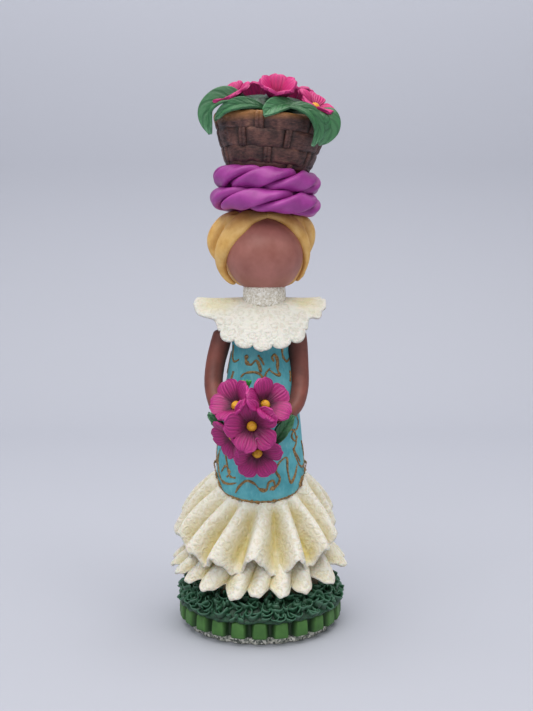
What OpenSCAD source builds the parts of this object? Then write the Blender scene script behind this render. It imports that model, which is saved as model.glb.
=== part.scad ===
// Faceless market-woman figurine in modelled clay, flowers in a basket on her head and a bunch in her hands.
// Every clay piece is threaded on one upright steel rod or pinned to a neighbour.
// Millimetres, +Z up, front towards -Y. The origin is the centre of the foot's underside.

/* [Base] */
// Outer radius of the fluted disc
base_r = 27; // [22:0.5:33]
// Height of the fluted disc
base_h = 5.6; // [4.5:0.1:7]
// Number of flutes round the disc
flutes = 24; // [18:1:30]
// Depth of a flute
flute_depth = 1.2; // [0.8:0.1:1.6]
// Thickness of the glitter foot
foot_h = 2.4; // [1.8:0.1:3]
// How far the foot's edge stands inside the disc's edge
foot_inset = 2.4; // [1.8:0.1:3]
// Number of scallops round the foot
foot_scallops = 24; // [18:1:30]
// Height of the grass mound
grass_h = 6; // [4.8:0.1:7.4]
// Thickness of one curled blade of grass
curl_t = 1; // [0.8:0.1:1.2]

/* [Armature] */
// Radius of the upright steel rod
rod_r = 1.2; // [1:0.1:1.5]
// Radius of the two shoulder pins
pin_r = 0.6; // [0.5:0.05:0.75]
// Clearance between pieces that fit together
fit_gap = 0.05; // [0.03:0.01:0.1]

/* [Skirt] */
// Height of the skirt cone that carries the two flounces
skirt_h = 30; // [24:0.5:37]
// Thickness of the rolled clay sheet of the flounces
sheet_t = 1.4; // [1.1:0.1:1.7]
// Radius that the lower flounce reaches
lower_reach = 29; // [27:0.5:35]
// Radius that the upper flounce reaches
upper_reach = 27.5; // [25:0.5:33]
// Number of pleats in the lower flounce
lower_pleats = 21; // [16:1:26]
// Number of pleats in the upper flounce
upper_pleats = 12; // [10:1:15]

/* [Dress] */
// Height of the dress from hem to shoulder
dress_h = 61; // [50:0.5:74]
// Radius of the dress at its hem
hem_r = 14.6; // [13:0.1:17.6]
// Radius of the bodice
bodice_r = 9.3; // [7.7:0.1:11.2]
// Wall of the dress
dress_t = 1.8; // [1.4:0.1:2.2]

/* [Neck and collar] */
// Radius of the neck
neck_r = 5.4; // [4.5:0.1:6.5]
// Visible height of the neck
neck_h = 6.8; // [5.6:0.1:8.1]
// Thickness of the choker
choker_t = 1.5; // [1.2:0.1:1.8]
// Thickness of the collar's sheet
collar_t = 1.1; // [0.9:0.1:1.4]
// How far the collar reaches over each shoulder, from the middle
collar_reach = 21.6; // [18:0.1:26]
// How far the collar reaches over the chest and the back
collar_front = 16.6; // [14:0.1:19.9]
// How far the collar hangs down the chest
collar_drop = 12.4; // [10.3:0.1:14.9]

/* [Arms] */
// Radius of the upper arm
arm_r = 3.1; // [2.5:0.1:3.7]
// How far the hands stand in front of the dress
hand_out = 3.4; // [2.8:0.1:4.1]

/* [Head] */
// Radius of the head
head_r = 12.6; // [10.5:0.1:15.1]
// How far the neck and head stand to the figure's left of the rod
head_shift = 1.4; // [0:0.1:1.7]
// Lean of the rope rings and basket on the head
lean = 4.5; // [0:0.5:5.5]
// Thickness of the hood behind the head
hood_t = 1.5; // [1.2:0.1:1.8]
// Thickness of the wrap between the head and the lower rope ring
crown_t = 0.7; // [0.5:0.1:0.9]
// Backward slope of the hood's front edge
hood_slope = 24; // [20:1:28]
// Radius of one twisted rope
rope_r = 3.4; // [2.8:0.1:4.1]
// Centreline radius of the lower rope ring
lower_ring_r = 14.1; // [11.7:0.1:17]
// Centreline radius of the upper rope ring
upper_ring_r = 13.6; // [11.3:0.1:16.4]

/* [Basket] */
// Height of the basket
basket_h = 16; // [13.4:0.1:19.2]
// Outer radius of the basket's floor
basket_floor_r = 12.4; // [10.5:0.1:14.9]
// Outer radius of the basket's wall at the rim
basket_rim_r = 17.6; // [15.6:0.1:21.1]
// Thickness of the basket's wall and floor
basket_t = 1.8; // [1.5:0.1:2.2]
// Thickness of a woven strip
strip_t = 0.8; // [0.7:0.1:1]

/* [Flowers and leaves] */
// Length of a petal
petal_len = 8.8; // [7.4:0.1:10.5]
// Width of a petal
petal_w = 7.4; // [6.2:0.1:8.8]
// Thickness of a petal
petal_t = 0.9; // [0.75:0.05:1.1]
// Radius of a flower's yellow centre
stamen_r = 1.6; // [1.3:0.1:1.9]
// Thickness of a leaf
leaf_t = 1; // [0.8:0.1:1.2]

/* [Hidden] */
$fn = 48;

// Heights of the stack, each from the one below
base_z = foot_h;
grass_z = base_z + base_h;
skirt_z = grass_z + grass_h;
hem_z = skirt_z + skirt_h;
shoulder_z = hem_z + dress_h;
neck_top_z = shoulder_z + neck_h;
head_z = neck_top_z - fit_gap + sqrt(pow(head_r, 2) - pow(neck_r + choker_t, 2));
crown_z = head_z + head_r + crown_t;

// Heights above the crown, along the leaning axis of the rings and basket
lower_ring_z = fit_gap + rope_r;
upper_ring_z = lower_ring_z + 2 * rope_r + fit_gap;
basket_z = upper_ring_z + rope_r + fit_gap;
rim_z = basket_z + basket_h;

mound_r = base_r - 2.4 * curl_t;
cone_foot_r = mound_r - 4;
cone_top_r = hem_r - dress_t;
waist_h = 0.77 * dress_h;
pin_z = shoulder_z - 7;
bouquet_z = hem_z + 0.42 * dress_h;
rod_top_z = head_z + 1;
pin_foot = -6;

function lerp(a, b, t) = a + (b - a) * t;
function clamp01(t) = min(max(t, 0), 1);
function smooth(t) = let (c = clamp01(t)) c * c * (3 - 2 * c);
function unit(v) = v / norm(v);
function bezier(p, t) = pow(1 - t, 3) * p[0] + 3 * pow(1 - t, 2) * t * p[1]
    + 3 * (1 - t) * t * t * p[2] + pow(t, 3) * p[3];

// ---- Shapes that repeat ----

// Triangles of a grid of points numbered row by row from first; wrap joins each row's end to its start
function grid_faces(rows, cols, first, wrap, flip) = [
    for (i = [0:rows - 2], j = [0:cols - (wrap ? 1 : 2)])
        let (a = first + i * cols + j, b = first + i * cols + (j + 1) % cols, c = a + cols, d = b + cols)
            each flip ? [[a, c, b], [b, c, d]] : [[a, b, c], [b, d, c]]
];

// Triangles between two matching lines of point numbers
function band_faces(one, two) = [
    for (k = [0:len(one) - 2]) each [[one[k], two[k], one[k + 1]], [one[k + 1], two[k], two[k + 1]]]
];

function flat(rows) = [for (row = rows) each row];

// Point numbers round the edge of an open grid, back to the first
function edge_loop(rows, cols) = concat([for (j = [0:cols - 1]) j],
    [for (i = [1:rows - 1]) i * cols + cols - 1], [for (j = [cols - 2:-1:0]) (rows - 1) * cols + j],
    [for (i = [rows - 2:-1:0]) i * cols]);

// A closed sheet between an upper and a lower grid of points; ring closes the rows on themselves
module sheet(upper, lower, ring = false) {
    rows = len(upper);
    cols = len(upper[0]);
    n = rows * cols;
    loop = edge_loop(rows, cols);
    first_row = [for (j = [0:cols]) j % cols];
    last_row = [for (j = first_row) j + (rows - 1) * cols];
    edges = ring
        ? concat(band_faces(first_row, [for (k = first_row) k + n]),
            band_faces([for (k = last_row) k + n], last_row))
        : band_faces(loop, [for (k = loop) k + n]);
    polyhedron(concat(flat(upper), flat(lower)),
        concat(grid_faces(rows, cols, 0, ring, false), grid_faces(rows, cols, n, ring, true), edges));
}

// A solid with round ends through closed rings of points
module loft(rings) {
    rows = len(rings);
    cols = len(rings[0]);
    head_cap = [for (j = [1:cols - 2]) [0, j + 1, j]];
    tail_cap = [for (j = [1:cols - 2]) let (k = (rows - 1) * cols) [k, k + j, k + j + 1]];
    polyhedron(flat(rings), concat(grid_faces(rows, cols, 0, true, false), head_cap, tail_cap));
}

// One ring of points round centre, square to the direction along, with half-widths a and b
function oval(centre, along, side, a, b, sides) =
    let (t = unit(along), n = unit(cross(t, side)), m = cross(n, t))
        [for (k = [0:sides - 1]) let (w = -360 * k / sides) centre + a * cos(w) * m + b * sin(w) * n];

// A clay sausage along a Bezier curve with rounded ends
module sausage(p, side, a0, a1, flatness, rows = 15, sides = 12) {
    loft([for (i = [0:rows - 1])
        let (t = i / (rows - 1), s = lerp(0.004, 0.996, t),
            round_end = sqrt(max(0.06, 1 - pow(max(0, 1 - 9 * min(t, 1 - t)), 2))),
            a = lerp(a0, a1, t) * round_end)
            oval(bezier(p, s), bezier(p, s + 0.004) - bezier(p, s - 0.004), side, a, a * flatness, sides)]);
}

// A blade that starts at the origin along +X and bends in the XZ plane from rise0 to rise1 degrees
function blade_angle(b, u) = lerp(b[2], b[3], u);
function blade_spine(b, u) =
    let (turn = b[3] - b[2], r = b[0] * 180 / (PI * turn))
        r * [sin(b[2] + turn * u) - sin(b[2]), 0, cos(b[2]) - cos(b[2] + turn * u)];
function blade_point(b, widths, i, v, under) =
    let (u = i / (len(widths) - 1), a = blade_angle(b, u), half = b[1] / 2 * widths[i])
        blade_spine(b, u) + [0, v * half, 0] + (b[4] * v * v * half - under) * [-sin(a), 0, cos(a)];
function blade_grid(b, widths, under) = [
    for (i = [0:len(widths) - 1]) [for (j = [-2:2]) blade_point(b, widths, i, j / 2, under)]
];

// blade = [length, width, rise0, rise1, cup]; widths are shares of the width from root to tip
module blade_sheet(b, widths, thick) {
    sheet(blade_grid(b, widths, 0), blade_grid(b, widths, thick));
}

PETAL_WIDTHS = [0.13, 0.5, 0.85, 1, 0.86, 0.34];
LEAF_WIDTHS = [0.3, 0.66, 0.92, 1, 0.86, 0.5, 0.1];
FERN_WIDTHS = [0.25, 0.8, 1, 0.95, 0.7, 0.4, 0.1];

// Puts children that face +Z at a place, facing a direction, spun about it
module facing(place, direction, spin = 0) {
    d = unit(direction);
    translate(place) rotate([0, acos(d[2]), atan2(d[1], d[0])]) rotate(spin) children();
}

stalk_r = 0.9;
petal_root = stalk_r + 0.1;

// Petal widths, narrowed towards the root so that neighbours stay clear of each other
function petal_widths(b) = [
    for (i = [0:len(PETAL_WIDTHS) - 1])
        let (u = i / (len(PETAL_WIDTHS) - 1), a = blade_angle(b, u), r = petal_root + blade_spine(b, u)[0],
            room = (r * tan(36) - fit_gap) / (1 + b[4] * tan(36) * abs(sin(a))))
            min(PETAL_WIDTHS[i], 2 * room / b[1])
];

// Five petals set round a stalk
module flower(size, open, stalk) {
    blade = [petal_len * size, petal_w * size, open + 24, open - 22, 0.28];
    for (k = [0:4])
        rotate(72 * k) translate([petal_root, 0, 0.2]) blade_sheet(blade, petal_widths(blade), petal_t);
    translate([0, 0, -stalk]) cylinder(r = stalk_r, h = stalk + 0.4);
}

module stalk_bore(stalk) translate([0, 0, -stalk - fit_gap]) cylinder(r = stalk_r + fit_gap, h = stalk + 3);

module stamen() translate([0, 0, 0.4 + stamen_r]) sphere(stamen_r);

module rod_bore(from, to, r = rod_r + fit_gap) translate([0, 0, from]) cylinder(r = r, h = to - from);

// Places children on the crown of the head, on the leaning axis
module on_crown() translate([head_shift, 0, crown_z]) rotate([0, lean, 0]) children();

// Outline of a disc with rounded lugs; duty is the share of the pitch that a lug takes
function lug_outline(r, depth, count, duty, steps) = [
    for (k = [0:count * steps - 1])
        let (w = 360 * k / (count * steps), phase = abs((k % steps) / steps - 0.5) * 2,
            rr = r - depth * smooth((phase - duty) / (1 - duty)))
            rr * [cos(w), sin(w)]
];

// ---- Base ----

module foot_plate() {
    color("gainsboro")
        linear_extrude(foot_h - fit_gap)
            polygon(lug_outline(base_r - foot_inset, 0.8, foot_scallops, 0.1, 6));
}

module base_disc() {
    color("darkolivegreen")
        difference() {
            translate([0, 0, base_z]) linear_extrude(base_h)
                rotate(-90 - 180 / flutes) polygon(lug_outline(base_r, flute_depth, flutes, 0.45, 8));
            rod_bore(base_z - 1, grass_z + 1);
        }
}

module grass_mound() {
    color("darkgreen")
        difference() {
            rotate_extrude() polygon([[0, grass_z + fit_gap], [mound_r, grass_z + fit_gap],
                [mound_r, grass_z + 0.6 * grass_h], [mound_r - 1.4, skirt_z - 0.3], [mound_r - 2.6, skirt_z],
                [0, skirt_z]]);
            rod_bore(grass_z - 1, skirt_z + 1);
        }
}

module grass_curls() {
    rows = [[0.62, 0, 2.05], [1.75, 0.5, 1.75]];
    color("forestgreen")
        for (row = rows, k = [0:23])
            rotate(15 * (k + row[1]))
                translate([mound_r + row[0] * curl_t, 0, grass_z + row[2] + curl_t / 2 + 0.3 * (k % 3)])
                    rotate([0, 90, 0]) rotate(70 * k)
                        rotate_extrude(angle = 250) translate([1.45, 0]) circle(curl_t / 2);
}

module armature_rod() {
    color("silver") rod_bore(foot_h, rod_top_z, rod_r);
}

// ---- Skirt ----

module skirt_cone() {
    color("lightgray")
        difference() {
            translate([0, 0, skirt_z + fit_gap])
                cylinder(r1 = cone_foot_r, r2 = cone_top_r, h = skirt_h - 2 * fit_gap);
            rod_bore(skirt_z - 1, hem_z + 1);
        }
}

function cone_r(z) = lerp(cone_foot_r, cone_top_r, (z - skirt_z) / skirt_h);

// One point of a flounce: v runs from its gathered top to its edge and fold is half the thickness either way
function flounce_point(pleats, top_z, edge_z, reach, w, v, fold) =
    let (top_r = cone_r(top_z) + sheet_t / 2 + 0.15, flare = pow(v, 0.85),
        wave = cos(pleats * w + 30 * sin(2 * w)), deep = 2.3 * v * v,
        r = lerp(top_r, reach - 2.3, flare) + deep * wave + fold * 0.8,
        z = lerp(top_z, edge_z + 1.2 * cos(w - 200), v) + fold * 0.7)
        [r * cos(w), r * sin(w), z];

module flounce(pleats, top_z, edge_z, reach) {
    steps = pleats * 8;
    levels = [0, 0.34, 0.68, 1];
    sheet([for (v = levels) [for (k = [0:steps - 1])
            flounce_point(pleats, top_z, edge_z, reach, 360 * k / steps, v, sheet_t / 2)]],
        [for (v = levels) [for (k = [0:steps - 1])
            flounce_point(pleats, top_z, edge_z, reach, 360 * k / steps, v, -sheet_t / 2)]], ring = true);
}

module lower_flounce() {
    color("ivory") flounce(lower_pleats, skirt_z + 0.47 * skirt_h, skirt_z + 2.6, lower_reach);
}

module upper_flounce() {
    color("ivory") flounce(upper_pleats, hem_z - 1.4, skirt_z + 0.37 * skirt_h, upper_reach);
}

// ---- Dress ----

// Outer radius of the dress at a height above its hem
function dress_r(h) = bodice_r + (hem_r - bodice_r) * pow(1 - pow(clamp01(h / waist_h), 2.2), 1.15);

hem_round = 3.4;
shoulder_drop = 9;
collar_rise = 1.8;

// Side outline from hem to shoulder, drawn in by a wall thickness
function dress_outline(wall) = concat(
    [for (k = [0:3]) let (w = 30 * k)
        [dress_r(hem_round) - wall - 1.7 * (1 - sin(w)), hem_z + hem_round * (1 - cos(w))]],
    [for (k = [1:13])
        let (h = lerp(hem_round, dress_h - shoulder_drop, k / 13)) [dress_r(h) - wall, hem_z + h]],
    [for (k = [1:6]) let (w = 15 * k)
        [lerp(neck_r + head_shift + 0.6, bodice_r, cos(w)) - wall * cos(w),
            shoulder_z - shoulder_drop + (shoulder_drop - wall) * sin(w)]]);

function dress_top(wall) = shoulder_z - wall;

module dress_solid(wall) {
    rotate_extrude()
        polygon(concat([[0, hem_z]], dress_outline(wall), [[0, dress_top(wall)]]));
}

module shoulder_bores(r) {
    translate([-30, 0, pin_z]) rotate([0, 90, 0]) cylinder(r = r, h = 60);
}

module dress_core() {
    color("lightgray")
        difference() {
            dress_solid(dress_t + fit_gap);
            rod_bore(hem_z - 1, shoulder_z + 1);
            shoulder_bores(pin_r + fit_gap);
        }
}

module dress_shell() {
    color("mediumturquoise")
        difference() {
            dress_solid(0);
            translate([0, 0, -0.01]) dress_solid(dress_t);
            translate([head_shift, 0, 0]) rod_bore(hem_z - 1, shoulder_z + 1, neck_r + fit_gap);
            shoulder_bores(pin_r + fit_gap);
        }
}

module hem_trim() {
    color("peru")
        translate([0, 0, hem_z - 0.12])
            rotate_extrude() translate([dress_r(hem_round) - 0.82, 0]) circle(0.45);
}

// ---- Arms ----

arm_x = bodice_r + arm_r + 0.3;
hand_y = -(dress_r(bouquet_z + 3 - hem_z) + hand_out + arm_r);

// Centreline of an arm: side is -1 for the arm at -X and 1 for the arm at +X
function arm_curve(side, hand_x) = [
    [side * arm_x, 0, shoulder_z - 5.6],
    [side * (arm_x + 2.8), 0.6, lerp(shoulder_z, bouquet_z, 0.46)],
    [side * (arm_x + 6.4), hand_y * 0.42, bouquet_z + 7],
    [hand_x, hand_y + 2.6, bouquet_z + 2.4]];

module shoulder_pin(side) {
    inner = rod_r + 1.2;
    color("silver")
        translate([side * inner, 0, pin_z]) rotate([0, side * 90, 0])
            cylinder(r = pin_r, h = arm_x - inner + 0.4);
}

module arm(side, hand_x) {
    color("saddlebrown")
        difference() {
            sausage(arm_curve(side, hand_x), [1, 0, 0], arm_r, arm_r * 0.66, 0.96);
            translate([0, 0, pin_z]) rotate([0, side * 90, 0]) cylinder(r = pin_r + fit_gap, h = arm_x + 0.5);
        }
}

module left_shoulder_pin() shoulder_pin(-1);
module right_shoulder_pin() shoulder_pin(1);
// Each hand rests against the core of the bunch
module left_arm() arm(-1, bouquet_centre[0] - core_r - 1.6);
module right_arm() arm(1, bouquet_centre[0] + core_r + 3.6);

// ---- Neck, choker and collar ----

module head_ball(grow = 0) translate([head_shift, 0, head_z]) sphere(head_r + grow);

module neck_post() {
    color("saddlebrown")
        difference() {
            translate([head_shift, 0, dress_top(dress_t) + 2 * fit_gap])
                cylinder(r = neck_r, h = neck_h + dress_t);
            head_ball(fit_gap);
            rod_bore(shoulder_z - 5, neck_top_z + 5);
        }
}

module choker_band() {
    color("silver")
        difference() {
            translate([head_shift, 0, shoulder_z + collar_rise + 0.65 * collar_t])
                cylinder(r = neck_r + choker_t, h = neck_h - collar_rise - 0.65 * collar_t);
            translate([head_shift, 0, 0]) rod_bore(shoulder_z, neck_top_z + 1, neck_r + fit_gap);
            head_ball(fit_gap);
        }
}

// Collar at angle w: sideways is 1 over a shoulder and 0 at the chest and back
function collar_point(w, v, fold) =
    let (sideways = smooth((abs(cos(w)) - 0.55) / 0.45), scallop = 1.1 * abs(sin(8 * w)) * smooth(3 * v - 2),
        edge_r = lerp(collar_front, collar_reach, sideways) + scallop,
        edge_z = lerp(shoulder_z - collar_drop, shoulder_z - 1.6, sideways),
        wave = 1.5 * sideways * v * v * cos(16 * w + 90),
        slope = lerp(0.75 * min(3 * v, 1), 0.1, sideways),
        r = lerp(neck_r + 0.3, edge_r, v) + fold * slope,
        drop = pow(v, lerp(1.6, 1.4, sideways)),
        z = lerp(shoulder_z + collar_rise, edge_z, drop) + wave + fold * sqrt(1 - slope * slope))
        [head_shift * (1 - v) + r * cos(w), r * sin(w), z];

module collar() {
    steps = 72;
    levels = [0, 0.3, 0.6, 0.82, 1];
    color("floralwhite")
        sheet([for (v = levels) [for (k = [0:steps - 1]) collar_point(360 * k / steps, v, collar_t / 2)]],
            [for (v = levels) [for (k = [0:steps - 1]) collar_point(360 * k / steps, v, -collar_t / 2)]],
            ring = true);
}

// ---- Head and wrap ----

module head() {
    color("rosybrown")
        difference() {
            head_ball();
            rod_bore(head_z - head_r - 1, rod_top_z + fit_gap);
            on_crown() rod_bore(pin_foot - fit_gap, 2);
        }
}

module basket_pin() {
    color("silver") on_crown() rod_bore(pin_foot, basket_z + basket_t, rod_r);
}

hood_r = head_r + hood_t;

// Bell-shaped form of the hood, grown by a little for its bores
module hood_form(grow = 0) {
    translate([head_shift, 0, head_z]) rotate_extrude()
        polygon([[0, -0.68 * head_r - grow], [0.88 * head_r + grow, -0.68 * head_r - grow],
            [hood_r - 0.7 + grow, -0.36 * head_r], [hood_r + grow, 0], [hood_r + grow, 0.5 * head_r],
            [hood_r - 0.4 + grow, 0.8 * head_r], [hood_r - 0.9 + grow, 1.2 * head_r], [0, 1.2 * head_r]]);
}

// Turns about the head's centre so that +Y is square to the hood's front edge
module in_wrap() translate([head_shift, 0, head_z]) rotate([hood_slope, 0, 0]) children();

module above_crown() on_crown() translate([-40, -40, -fit_gap]) cube([80, 80, 80]);

// The hood behind the face, flat on top where the rope ring rests
module wrap_hood() {
    color("goldenrod")
        difference() {
            hood_form();
            head_ball(fit_gap);
            in_wrap() translate([-40, -80 + 2.3, -40]) cube([80, 80, 80]);
            above_crown();
            translate([head_shift, 0, shoulder_z]) cylinder(r = neck_r + choker_t + 0.3, h = neck_h + 1.5);
            on_crown() rod_bore(pin_foot, 2);
        }
}

// A band of the wrap beside the face: swing is its centre's distance from the head, a0 and a1 its half-widths
module wrap_band(side, top_x, swing, a0, a1) {
    r = head_r + swing;
    color("goldenrod")
        difference() {
            in_wrap()
                sausage([[top_x, -0.9, head_r + swing * 0.55], [side * r * 0.92, -0.9, r * 0.98],
                    [side * r * 1.2, -0.9, -r * 0.05], [side * r * 0.72, -0.2, -r * 0.76]],
                    [0, 1, 0], a0, a1, 0.6, 15, 12);
            head_ball(fit_gap);
            above_crown();
        }
}

module wrap_left_inner() wrap_band(-1, -2.2, 1.7, 3, 1.7);
module wrap_right_inner() wrap_band(1, 2.2, 1.1, 2.7, 1.4);

// A looser fold outside the hood, behind each band
module wrap_outer(side, reach) {
    color("goldenrod")
        difference() {
            in_wrap()
                sausage([[side * 0.62 * hood_r, 6.2, head_r * 0.72], [side * hood_r, 5.6, head_r * 0.84],
                    [side * (hood_r + reach), 4.6, head_r * 0.3],
                    [side * (hood_r - 0.4), 4.2, -head_r * 0.3]],
                    [0, 1, 0], 1.9, 1.5, 0.95, 13, 12);
            hood_form(fit_gap);
            above_crown();
        }
}

module wrap_left_outer() wrap_outer(-1, 3.6);
module wrap_right_outer() wrap_outer(1, 2.4);

// ---- Rope rings ----

// Half of a two-strand rope: a flat-backed section that winds round the rope's centreline
function strand_section(k) =
    let (w = 360 * (k + 0.5) / 12, p = rope_r * 0.46 + rope_r * 0.54 * cos(w), q = rope_r * 0.86 * sin(w))
        [max(p, 0.06), q];

module strand(ring_r, ring_z, twists, start) {
    rows = 45;
    color("mediumvioletred")
        on_crown() translate([0, 0, ring_z])
            loft([for (i = [0:rows - 1])
                let (t = i / (rows - 1), w = 91 + 358 * t, turn = start + twists * 360 * t)
                    [for (k = [0:11])
                        let (s = strand_section(11 - k), x = s[0] * cos(turn) - s[1] * sin(turn),
                            z = s[0] * sin(turn) + s[1] * cos(turn))
                            [(ring_r + x) * cos(w), (ring_r + x) * sin(w), z]]]);
}

module lower_rope_a() strand(lower_ring_r, lower_ring_z, 3, 55);
module lower_rope_b() strand(lower_ring_r, lower_ring_z, 3, 235);
module upper_rope_a() strand(upper_ring_r, upper_ring_z, 3.5, 114);
module upper_rope_b() strand(upper_ring_r, upper_ring_z, 3.5, 294);

// ---- Basket ----

function basket_wall_r(z) = lerp(basket_floor_r, basket_rim_r, (z - basket_z) / basket_h);

module basket_wall() {
    inner_floor = basket_floor_r - basket_t;
    color("tan")
        on_crown() difference() {
            translate([0, 0, basket_z]) cylinder(r1 = basket_floor_r, r2 = basket_rim_r, h = basket_h);
            translate([0, 0, basket_z + basket_t])
                cylinder(r1 = inner_floor + (basket_rim_r - basket_floor_r) * basket_t / basket_h,
                    r2 = basket_rim_r - basket_t, h = basket_h - basket_t + 0.001);
            rod_bore(basket_z - 1, basket_z + basket_t + 1);
        }
}

strip_h = basket_h / 4;

// A woven strip right round the wall; row 1 is the lowest
module basket_strip(row) {
    low = basket_z + (row - 1) * strip_h + 0.15;
    high = low + strip_h - 0.3;
    color("sienna")
        on_crown() rotate_extrude()
            polygon([[basket_wall_r(low) + fit_gap, low], [basket_wall_r(low) + fit_gap + strip_t * 0.6, low],
                [basket_wall_r(low + 0.5) + fit_gap + strip_t, low + 0.5],
                [basket_wall_r(high - 0.5) + fit_gap + strip_t, high - 0.5],
                [basket_wall_r(high) + fit_gap + strip_t * 0.6, high],
                [basket_wall_r(high) + fit_gap, high]]);
}

module basket_strip_1() basket_strip(1);
module basket_strip_2() basket_strip(2);
module basket_strip_3() basket_strip(3);
module basket_strip_4() basket_strip(4);

// Short lengths of upright stake that show in front of every other crossing
module basket_stakes() {
    stakes = 14;
    slope = atan((basket_rim_r - basket_floor_r) / basket_h);
    color("sienna")
        for (row = [1:4], k = [0:stakes / 2 - 1]) {
            z = basket_z + (row - 0.5) * strip_h;
            on_crown() rotate(360 / stakes * (2 * k + row % 2) + 8)
                translate([basket_wall_r(z) + fit_gap + strip_t + 0.32, 0, z]) rotate([0, slope, 0])
                    cube([0.5, 2.4, strip_h - 1.2], center = true);
        }
}

module basket_fill() {
    r = basket_wall_r(rim_z - 0.4) - basket_t - 0.1;
    low = basket_z + basket_t + 0.1;
    fill_floor_r = basket_wall_r(low) - basket_t - 0.2;
    color("darkgreen")
        difference() {
            on_crown() rotate_extrude()
                polygon(concat([[0, low], [fill_floor_r, low]],
                    [for (k = [0:6]) let (w = 15 * k) [r * cos(w), rim_z - 0.4 + 3.6 * sin(w)]]));
            for (f = BASKET_FLOWERS) in_basket(f) stalk_bore(basket_stalk);
        }
}

basket_stalk = 4;
bouquet_stalk = 4;

// How far the flowers stand apart, so that longer petals still clear each other
flower_spread = petal_len / 8.8;

// Places of the basket's flowers: [x, y, height over the rim], facing direction, spin and opening
BASKET_FLOWERS = [
    [[-2.4, -7.6, 4.9], [-0.05, -0.5, 1], 20, 44],
    [[-12.5, -1, 4.6], [-0.34, -0.2, 1], 44, 44],
    [[10.4, -4.6, 4.1], [0.5, -0.3, 1], 50, 40],
    [[-4.8, 9.6, 4.4], [-0.2, 0.45, 1], 10, 44],
    [[8.4, 8.4, 4.2], [0.4, 0.4, 1], 60, 44]];

module in_basket(f) {
    on_crown() facing([0, 0, rim_z] + flower_spread * f[0], f[1], f[2]) children();
}

module basket_flower(k) {
    color("deeppink") in_basket(BASKET_FLOWERS[k]) flower(1, BASKET_FLOWERS[k][3], basket_stalk);
}

module basket_stamens() {
    color("gold") for (f = BASKET_FLOWERS) in_basket(f) stamen();
}

module basket_flower_front() basket_flower(0);
module basket_flower_left() basket_flower(1);
module basket_flower_right() basket_flower(2);
module basket_flower_back_left() basket_flower(3);
module basket_flower_back_right() basket_flower(4);

// Leaves over the rim: [heading, root's distance inside the rim, height over the rim, length, width,
// rise at the root, rise at the tip, roll]
BASKET_LEAVES = [
    [182, 5.2, 2.5, 18, 8, 24, -92, 0],
    [224, 5.6, 2.7, 15, 6, 30, -62, -14],
    [266, 5.2, 2.7, 11, 8, 20, -78, 0],
    [312, 5.2, 2.7, 18, 6.4, 28, -78, 12],
    [350, 5.6, 2.7, 18.5, 10, 30, -88, 0],
    [36, 5.6, 2.8, 16, 8, 30, -74, 8],
    [88, 5.6, 2.8, 17, 8.6, 30, -82, 0],
    [136, 5.6, 2.8, 16, 8, 30, -78, -8]];

module basket_leaf(k) {
    l = BASKET_LEAVES[k];
    color("seagreen")
        on_crown() rotate(l[0]) translate([basket_rim_r - l[1], 0, rim_z + l[2]]) rotate([l[7], 0, 0])
            blade_sheet([l[3], l[4], l[5], l[6], -0.22], LEAF_WIDTHS, leaf_t);
}

module basket_leaf_1() basket_leaf(0);
module basket_leaf_2() basket_leaf(1);
module basket_leaf_3() basket_leaf(2);
module basket_leaf_4() basket_leaf(3);
module basket_leaf_5() basket_leaf(4);
module basket_leaf_6() basket_leaf(5);
module basket_leaf_7() basket_leaf(6);
module basket_leaf_8() basket_leaf(7);

// ---- Bouquet ----

core_r = 5.4 * flower_spread;
bouquet_centre = [-2.6, -(dress_r(bouquet_z - hem_z) + core_r - 0.4), bouquet_z];

// Flowers of the bouquet: facing direction, distance of the flower from the core's centre, spin and opening
BOUQUET_FLOWERS = [
    [[0.02, -1, 0.06], 9, 12, 20],
    [[0.5, -0.4, 0.9], 8.4, 20, 40],
    [[-0.56, -0.36, 0.8], 8.4, 50, 40],
    [[-0.9, -0.42, -0.12], 8.2, 20, 40],
    [[0.2, -0.46, -1], 8.4, 50, 38]];

module in_bouquet(f) {
    facing(bouquet_centre + flower_spread * f[1] * unit(f[0]), f[0], f[2]) children();
}

module bouquet_flower(k) {
    color("deeppink") in_bouquet(BOUQUET_FLOWERS[k]) flower(0.94, BOUQUET_FLOWERS[k][3], bouquet_stalk);
}

module bouquet_core() {
    color("darkgreen")
        difference() {
            translate(bouquet_centre) sphere(core_r);
            dress_solid(-fit_gap);
            for (f = BOUQUET_FLOWERS) in_bouquet(f) stalk_bore(bouquet_stalk);
        }
}

module bouquet_stamens() {
    color("gold") for (f = BOUQUET_FLOWERS) in_bouquet(f) stamen();
}

module bouquet_flower_centre() bouquet_flower(0);
module bouquet_flower_top_right() bouquet_flower(1);
module bouquet_flower_top_left() bouquet_flower(2);
module bouquet_flower_left() bouquet_flower(3);
module bouquet_flower_bottom() bouquet_flower(4);

// A leaf from the core: its root and tip direction, roll, length, width and bend
module bouquet_leaf(root, direction, roll, leaf_len, leaf_w, bend) {
    d = unit(direction);
    color("seagreen")
        translate(bouquet_centre + flower_spread * root) rotate([0, -asin(d[2]), atan2(d[1], d[0])]) rotate([roll, 0, 0])
            blade_sheet([leaf_len, leaf_w, bend, -bend, 0.18], FERN_WIDTHS, leaf_t * 0.8);
}

module bouquet_leaf_right() bouquet_leaf([5.5, -0.8, -2.6], [0.75, -0.25, 0.66], 62, 15, 7, 8);
module bouquet_leaf_left() bouquet_leaf([-4.9, 1.2, -2.4], [-0.96, 0.1, 0.12], 70, 12, 5, 6);
module bouquet_sprig() bouquet_leaf([-1.4, -0.6, 5.35], [-0.02, -0.1, 1], 80, 9, 3, 6);

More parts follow.
